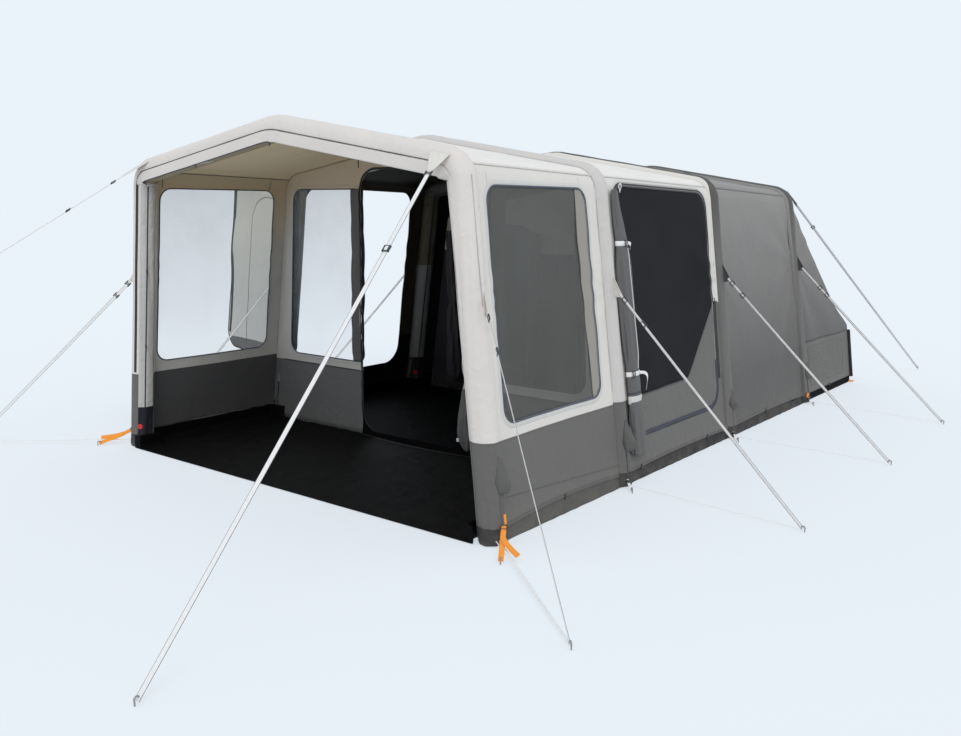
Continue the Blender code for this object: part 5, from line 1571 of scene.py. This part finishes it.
def addFloors():
    porch = trayGrid(tray["front"], tray["join"] - 0.001, 110, 101)
    porch[0, 13:-13, 2] = tray["floor"] + 0.0016
    addSheet("porchSheet", porch, "sheet", "porch_groundsheet")
    living = trayGrid(tray["join"], tray["back"], 300, 103, True)
    # the living room's sheet takes the darker copy, painted shade
    addSheet("livingSheet", living, "deepSheet", "living_groundsheet")
    hem = track(np.linspace(-1.47, 1.47, 120), tray["front"] + 0.014, 0.0064)
    makePiece("frontSheetHem", band(hem, rising, 0.026, 0.0016), "sheet")
    # the zip that joins the floor to the partition follows the curve of the doorway's foot
    x = np.linspace(-0.60, 1.45, 90)
    sag = 0.055 * np.sin(math.pi * np.clip((x + 0.60) / 1.15, 0, 1))
    path = track(x, partition["y"] - 0.016 - sag, 0.0078 + 0.0008 * np.sin(x * 40))
    makePiece("floorZip", band(path, rising, 0.016, 0.0022), "blackZip")
    # black flap over the doorway's sill in the groundsheet's painted-shade black, its upper edge along the
    # doorway's rounded foot
    x, t = np.linspace(-0.577, 0.60, 90)[None, :], np.linspace(0, 1, 10)[:, None]
    (left, low, radius), (right, _, _) = partition["door"][:2]
    inset = np.clip(radius - np.minimum(x - left, right - x), 0, radius)
    rise = np.where(x < 0.43, radius - np.sqrt(radius ** 2 - inset ** 2), 0.02)
    z = 0.0085 + (low + 0.004 + rise - 0.0085) * t
    makePiece("doorSill", surface(track(x, partition["y"] - 0.0075 - 0.012 * (1 - t) ** 2, z)), "deepSheet",
              outward=front, thick=0.0010)
    # skirt between the outside of the walls' hems and the ground, a little gathered; behind the porch it takes a
    # darker copy of its grey, painted shade
    shapes, deep = [], []
    for side, _ in sides:
        for bay in range(3):
            y, t = np.linspace(*bayEnds(bay), 110)[None, :], np.linspace(0, 1, 8)[:, None]
            z = 0.0035 + (hemLine(y) + 0.012 - 0.0035) * t
            out = -0.0048 + (0.0046 + 0.0014 * np.sin(38 * y + 2 * np.sin(9 * y))) * (1 - t) ** 0.8
            points = wallPoint(y, z, side, out, pushed=False)
            (deep if bay else shapes).append(facing(surface(points), (side, 0, 0)))
    makePiece("wallSkirt", shapes, "skirt", thick=0.0016)
    makePiece("livingSkirt", deep, "deepSkirt", thick=0.0016)


# Inner tent: its canopy hangs in from the fly on short ties; section as the fly's with a larger bend
inner = dict(front=3.100, back=5.780, inset=0.150, kneeY=4.550, base=0.008, far=1.39, high=1.70, middle=112,
             ridges=(tent["ridges"][2] - 0.075, tent["ridges"][3] - 0.075, 0.520),
             door=((0.30, 0.120), (1.05, 1.55)))


def innerPoint(y, s, base, out=0.0):
    # a point of the canopy; the ridge falls straight to the knee, and then straight to the back
    ridge = np.interp(y, (inner["front"], inner["kneeY"], inner["back"]), inner["ridges"])
    k = sectionOf(tent["leans"][1], ridge, tent["bend"] + inner["inset"], tent["pitch"])
    return flyPoint(y, s, out - inner["inset"], base, k)[0]


def innerDoor(side, spacing):
    low, high = inner["door"]
    return rounded([(side * x, z, radius) for x, z, radius in box(low, high, 0.12)], spacing)


def addInnerTent():
    s = stepped((0, 1, 2, 3, 4), (40, 12, 30, 9), True)[None, :]
    y = stepped((inner["front"] + 0.003, inner["kneeY"], inner["back"]), (40, 34))[:, None]
    points = innerPoint(y, s, inner["base"], -0.001)
    x, z = points[..., 0], points[..., 2]
    t = np.clip((y - inner["front"]) / (inner["kneeY"] - inner["front"]), 0, 1)
    sag = -0.020 * np.sin(math.pi * t) ** 2 * ease((z - 1.2) / 0.6)
    hang = (0.008 * np.sin(12 * y + 2 * np.sin(3 * z)) * ease((1.4 - z) / 0.8)
            * np.sin(math.pi * np.clip(t, 0.02, 1)) ** 0.5)
    points = track(x - np.sign(x) * (0.004 + hang), y, np.maximum(z + sag - 0.002, inner["base"]))
    cloths = dict(look="innerOut innerIn", thick=0.0018)
    makePiece("innerCanopy", surface(points), replaces="inner_tent_canopy", outward=(0, 0.2, 1), **cloths)
    line = innerPoint(inner["front"], np.linspace(0, 4, 300), inner["base"], -0.0035)
    middle, far = inner["middle"], inner["far"]
    shapes = []
    for side in (-1, 1):
        hole = innerDoor(side, 0.02)
        outer = outerRing(hole, *zip(sorted((0.0, side * far)), (inner["base"], inner["high"])))
        edge = np.abs(np.abs(outer[:, 0]) - far) < 1e-6
        outer[edge, 0] = side * np.interp(outer[edge, 1], line[:middle, 2], line[:middle, 0])
        upper = outer[:, 1] > inner["high"] - 1e-4
        outer[upper, 0] = outer[upper, 0] / far * line[middle, 0]
        outer[upper, 1] = np.interp(-np.abs(outer[upper, 0]), -line[middle:, 0], line[middle:, 2])
        t = np.linspace(0, 1, 14)
        x, z = between(hole, outer, t)
        push = 0.006 * np.sin(11 * x) * np.sin(math.pi * t)[:, None]
        points = track(x, inner["front"] + 0.001 + push, z)
        shapes.append(facing(surface(points, wrapCol=True), front))
    makePiece("innerFront", shapes, replaces="inner_tent_front", **cloths)
    bundles = [curtainShape(side * x, inner["front"] - gap, 0.11, 1.50, width, depth, seed + side, 0.0, (0.85,))
               for side in (-1, 1)
               for x, gap, width, depth, seed in ((1.120, 0.045, 0.13, 0.085, 7.0),
                                                  (0.235, 0.040, 0.10, 0.075, 9.0))]
    makePiece("innerDoorBundles", bundles, "curtain")
    rims = [grown(innerDoor(side, 0.03), 0.008) for side in (-1, 1)]
    makePiece("innerDoorZips", [band(track(rim[:, 0], inner["front"] - 0.003, rim[:, 1]), front, 0.014, 0.0020,
                                     closed=True) for rim in rims], "blackZip")
    x, y = np.meshgrid(np.linspace(-1.45, 1.45, 60),
                       np.linspace(inner["front"] + 0.004, inner["back"] - 0.004, 60))
    z = 0.0078 + 0.0012 + 0.0012 * ripple(x, y, 111, 0.2, 0.9)
    makePiece("innerFloor", surface(track(x, y, np.clip(z, 0.0066, 0.0125))), "curtain",
              replaces="inner_tent_floor", outward=rising, thick=0.0014)
    ties = []
    for y in (3.25, 3.9, 4.5):
        for share in (1.5, 2.4, 4.0, 5.6, 6.5):
            start = flyPoint(y, share, tent["skin"] - 0.004)[0]
            stop = innerPoint(y, share, inner["base"]) + 0.012 * falling
            path = start + (stop - start) * np.linspace(0, 1, 8)[:, None]
            ties.append(band(path, -front, 0.010, 0.0014))
    makePiece("innerTentTies", ties, "blackWeb")


addFloors()
addInnerTent()
print("floors and inner tent done")


# Foot straps, ground lines, pegs, pockets and small fittings

# Pocket over a guy's spare line: a flap that widens from a point at its top to a belly low down, then draws
# in to an open hem. Its half width and its reach are given at five shares of its height.
pocket = dict(shares=(0, 0.10, 0.32, 0.70, 1.0), half=(0.022, 0.030, 0.038, 0.024, 0.007),
              reach=(0.016, 0.030, 0.038, 0.016, 0.003), low=(0.274, 0.228, 0.220, 0.22),
              high=(0.46, 0.42, 0.37, 0.37))


def pocketShape(arch, side):
    u, v = np.linspace(-1, 1, 17)[None, :], np.linspace(0, 1, 28)[:, None]
    z = pocket["low"][arch] + (pocket["high"][arch] - pocket["low"][arch]) * v
    depth = np.interp(v, pocket["shares"], pocket["reach"]) * (1 - u ** 2) ** 0.6
    depth = (depth + 0.0035 * np.sin(9 * v + 4 * u) * (1 - u ** 2)) * (1.35 if arch < 2 else 1.0)
    lean, y = tent["leans"][arch], u * np.interp(v, pocket["shares"], pocket["half"])
    x = tent["footHalf"] - lean * z + (np.sqrt(sleeve["radius"] ** 2 - y * y) + depth) * math.hypot(1, lean)
    return facing(surface(track(side * x, tent["arches"][arch] + y + 0.45 * depth, z)), (side, 0, 0))


def legSkin(arch, side, z, turn=0.0, lift=0.0):
    # a point on a leg's sleeve at a height, turned round it by degrees
    lean, r, turn = tent["leans"][arch], sleeve["radius"] + lift, math.radians(turn)
    x = tent["footHalf"] - lean * z + r * math.cos(turn) * math.hypot(1, lean)
    return track(side * x, tent["arches"][arch] + r * math.sin(turn), z)


def addFeet():
    for side, name in sides:
        pockets = [pocketShape(arch, side) for arch in range(4)]
        # flap's band below the pocket down to the foot
        straps = [band(legSkin(arch, side, np.linspace(low + 0.02, 0.10, 20), 0.0, 0.0016), (side, 0, 0.1),
                       0.040, 0.0014) for arch, low in enumerate(pocket["low"])]
        makePiece("pockets_" + name, pockets[:2], "wallGrey", thick=0.0018)
        makePiece("bedroomPockets_" + name, pockets[2:], "wallGrey", thick=0.0018)
        makePiece("pocketStraps_" + name, straps, "wallGrey")
        tabs, clips = [], []
        for arch in range(1, 4):
            start = legSkin(arch, side, 0.055, -20, 0.001)
            peg = np.array([side * (abs(start[0]) + 0.075), start[1] - 0.075, 0.0])
            path = evenly(np.array([start, (start + peg) / 2 + 0.004 * rising, peg + 0.010 * rising]), 0.012)
            tabs.append(band(path, (side * 0.4, -0.3, 0.8), 0.018, 0.0018, -0.0009))
            along = unit(peg - start)
            clips += clipShapes(start + along * 0.022, along, unit(np.array([side * 0.5, -0.3, 0.8])))
            makePiece(f"footPeg{arch + 1}_{name}", pegShape(peg, peg - start), "steel")
        for y in (0.72, 1.62, 2.62, 3.75, 5.35):
            at = wallPoint(y, hemLine(y) + 0.004 if y < 4.7 else 0.075, side, 0.004)
            clips += clipShapes(at, falling, np.array([side, 0, 0]), (0.026, 0.016, 0.006))
        makePiece("footTabs_" + name, tabs, "web")
        makePiece("hemClips_" + name, clips, "plastic")
        tags = [boxShape(legSkin(3, side, 0.075, -25, 0.003), np.eye(3), (0.012, 0.030, 0.040)),
                boxShape((side * 1.652, 5.985, 0.016), np.eye(3), (0.045, 0.045, 0.010))]
        makePiece("footTags_" + name, tags, "orangePlastic")


def addFrontStraps():
    # orange strap from the front foot over a black ladder buckle to its own peg
    for side, name in sides:
        start = legSkin(0, side, 0.11, 0.0, 0.0010)
        peg = np.array([start[0] + side * 0.14, tent["arches"][0] - 0.215, 0.0])
        foot = peg + 0.014 * rising
        t = np.linspace(0, 1, 30)[:, None]
        path = start + (foot - start) * t + rising * 0.003 * np.sin(math.pi * t * 3)
        upper = start + rising * np.linspace(0.055, 0, 8)[:, None]
        upper[:, 0] -= side * tent["leans"][0] * (upper[:, 2] - start[2])
        face = unit(np.array([0.45, -0.70, 0.60]))
        strap = band(evenly(np.concatenate([upper[:-1], path]), 0.010), face, 0.028, 0.0022, -0.001)
        makePiece("footStrap_" + name, strap, "orange", replaces="foot_strap_" + name)
        # loose end of the strap, curling away beside its peg
        t = np.linspace(0, 1, 24)[:, None]
        tail = (start + (foot - start) * (0.34 + 0.30 * t) + face * 0.006
                + np.array([side * 0.115, -0.02, 0]) * t ** 1.7)
        tail[:, 2] = np.maximum(tail[:, 2] - 0.012 * t[:, 0], 0.004)
        makePiece("footTail_" + name, band(tail, face, 0.028, 0.0020), "orange")
        along = unit(foot - start)
        square = unit(face - along * (face @ along))
        bits = ladderShape(start + along * 0.022 + square * 0.003, along, np.cross(square, along), square,
                           0.026)
        makePiece("footBuckle_" + name, bits, "plastic")
        makePiece("footPeg1_" + name, pegShape(peg, along), "steel")


def groundLine(name, start, stop, width, peg, lift=0.0, shift=0.0):
    # a line pulled tight just over the ground between a foot's peg and a guy's peg
    across = unit(np.cross(unit(stop - start), rising))
    path = evenly(np.array([start + across * shift, stop + across * shift * 0.2]), 0.08)
    path = path + rising * lift * np.sin(np.linspace(0, math.pi, len(path)))[:, None] * 0.3
    line = makePiece(name, band(path, rising, width, 0.0016, -0.0008), "web")


def addGroundLines():
    for side, name in sides:
        pegs = {key: flipped(peg, side) for key, peg in guys["pegs"].items()}
        start = legSkin(0, side, 0.035, -35, 0.004)
        stop = pegs["arch1"] + np.array([-side * 0.008, 0.012, 0.012])
        for index, shift in enumerate((-0.008, 0.010)):
            groundLine(f"groundStrap_{name}_{index}", start, stop, 0.007, "peg_arch1_" + name, 0.004, shift)
        for arch in range(1, 4):
            key = f"arch{arch + 1}"
            groundLine(f"groundLine{arch + 1}_{name}_0", legSkin(arch, side, 0.020, -20, 0.012),
                       pegs[key] + np.array([-side * 0.008, 0, 0.012]), 0.004, f"peg_{key}_{name}")
        groundLine(f"groundLineRear_{name}_0", np.array([side * 1.628, 5.994, 0.030]),
                   pegs["rear"] + np.array([0, -0.008, 0.012]), 0.004, "peg_rear_" + name)


def addSmallTrim():
    # sliders on the left leg's zip
    bits = []
    for z in (1.27, 0.745):
        point, way = ringPoint(0, np.array([8 - z / 1.84]), np.array([math.radians(-158)]), 0.004)
        bits += clipShapes(point[0], falling, way[0], (0.026, 0.012, 0.006))
    makePiece("zipSliders", bits, "plastic")
    # toggle and loop in the left doorway
    point = wallPoint(2.80, 0.98, -1, -0.012)
    makePiece("doorToggle", clipShapes(point, np.array([0, 0.3, -1.0]), np.array([1.0, 0, 0])), "plastic")
    # ventilation panels low in the rear side walls: a raised border and slats
    for side, name in sides:
        outline = rounded(box((4.86, 0.135), (5.80, 0.470), 0.02), 0.03)
        shapes = [wallBand(outline, side, 0.014, 0.0018, 0.0006, True)]
        shapes += [wallBand((np.linspace(4.885, 5.775, 40), z), side, 0.012, 0.0016, 0.0004)
                   for z in np.linspace(0.175, 0.430, 8)]
        makePiece("rearVent_" + name, shapes, "grey")
        z = np.linspace(0.06, 0.53, 20)
        post = track(side * (tent["footHalf"] + 0.054 - 0.1325 * z), 5.992, z)
        makePiece("rearCorner_" + name, band(post, front, 0.032, 0.006), "blackZip")
        bits = clipShapes(np.array([side * 1.607, 5.998, 0.30]), falling, unit(np.array([side * 0.8, 0.6, 0])),
                          (0.034, 0.016, 0.008))
        makePiece("rearClip_" + name, bits, "whitePlastic")
    # rear seam where the falling fly meets the low wall
    for side, name in sides:
        seam = wallBand((np.linspace(rearStart, 5.99, 50), 0.527), side, 0.012, 0.0014)
        makePiece("rearSeam_" + name, seam, "darkTape", "grey_cloth")


def dressNodes():
    # finishes of the CAD pieces that stay as they are
    for name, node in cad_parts.items():
        if name.startswith(("adjuster_", "valve_cap_")) or name.endswith("zip_pull"):
            for slot in node.material_slots:
                slot.material = looks["redPlastic" if name.startswith("valve") else "plastic"]


addFeet()
addFrontStraps()
addGroundLines()
addSmallTrim()
dressNodes()
print("trim done")

print("pieces done")
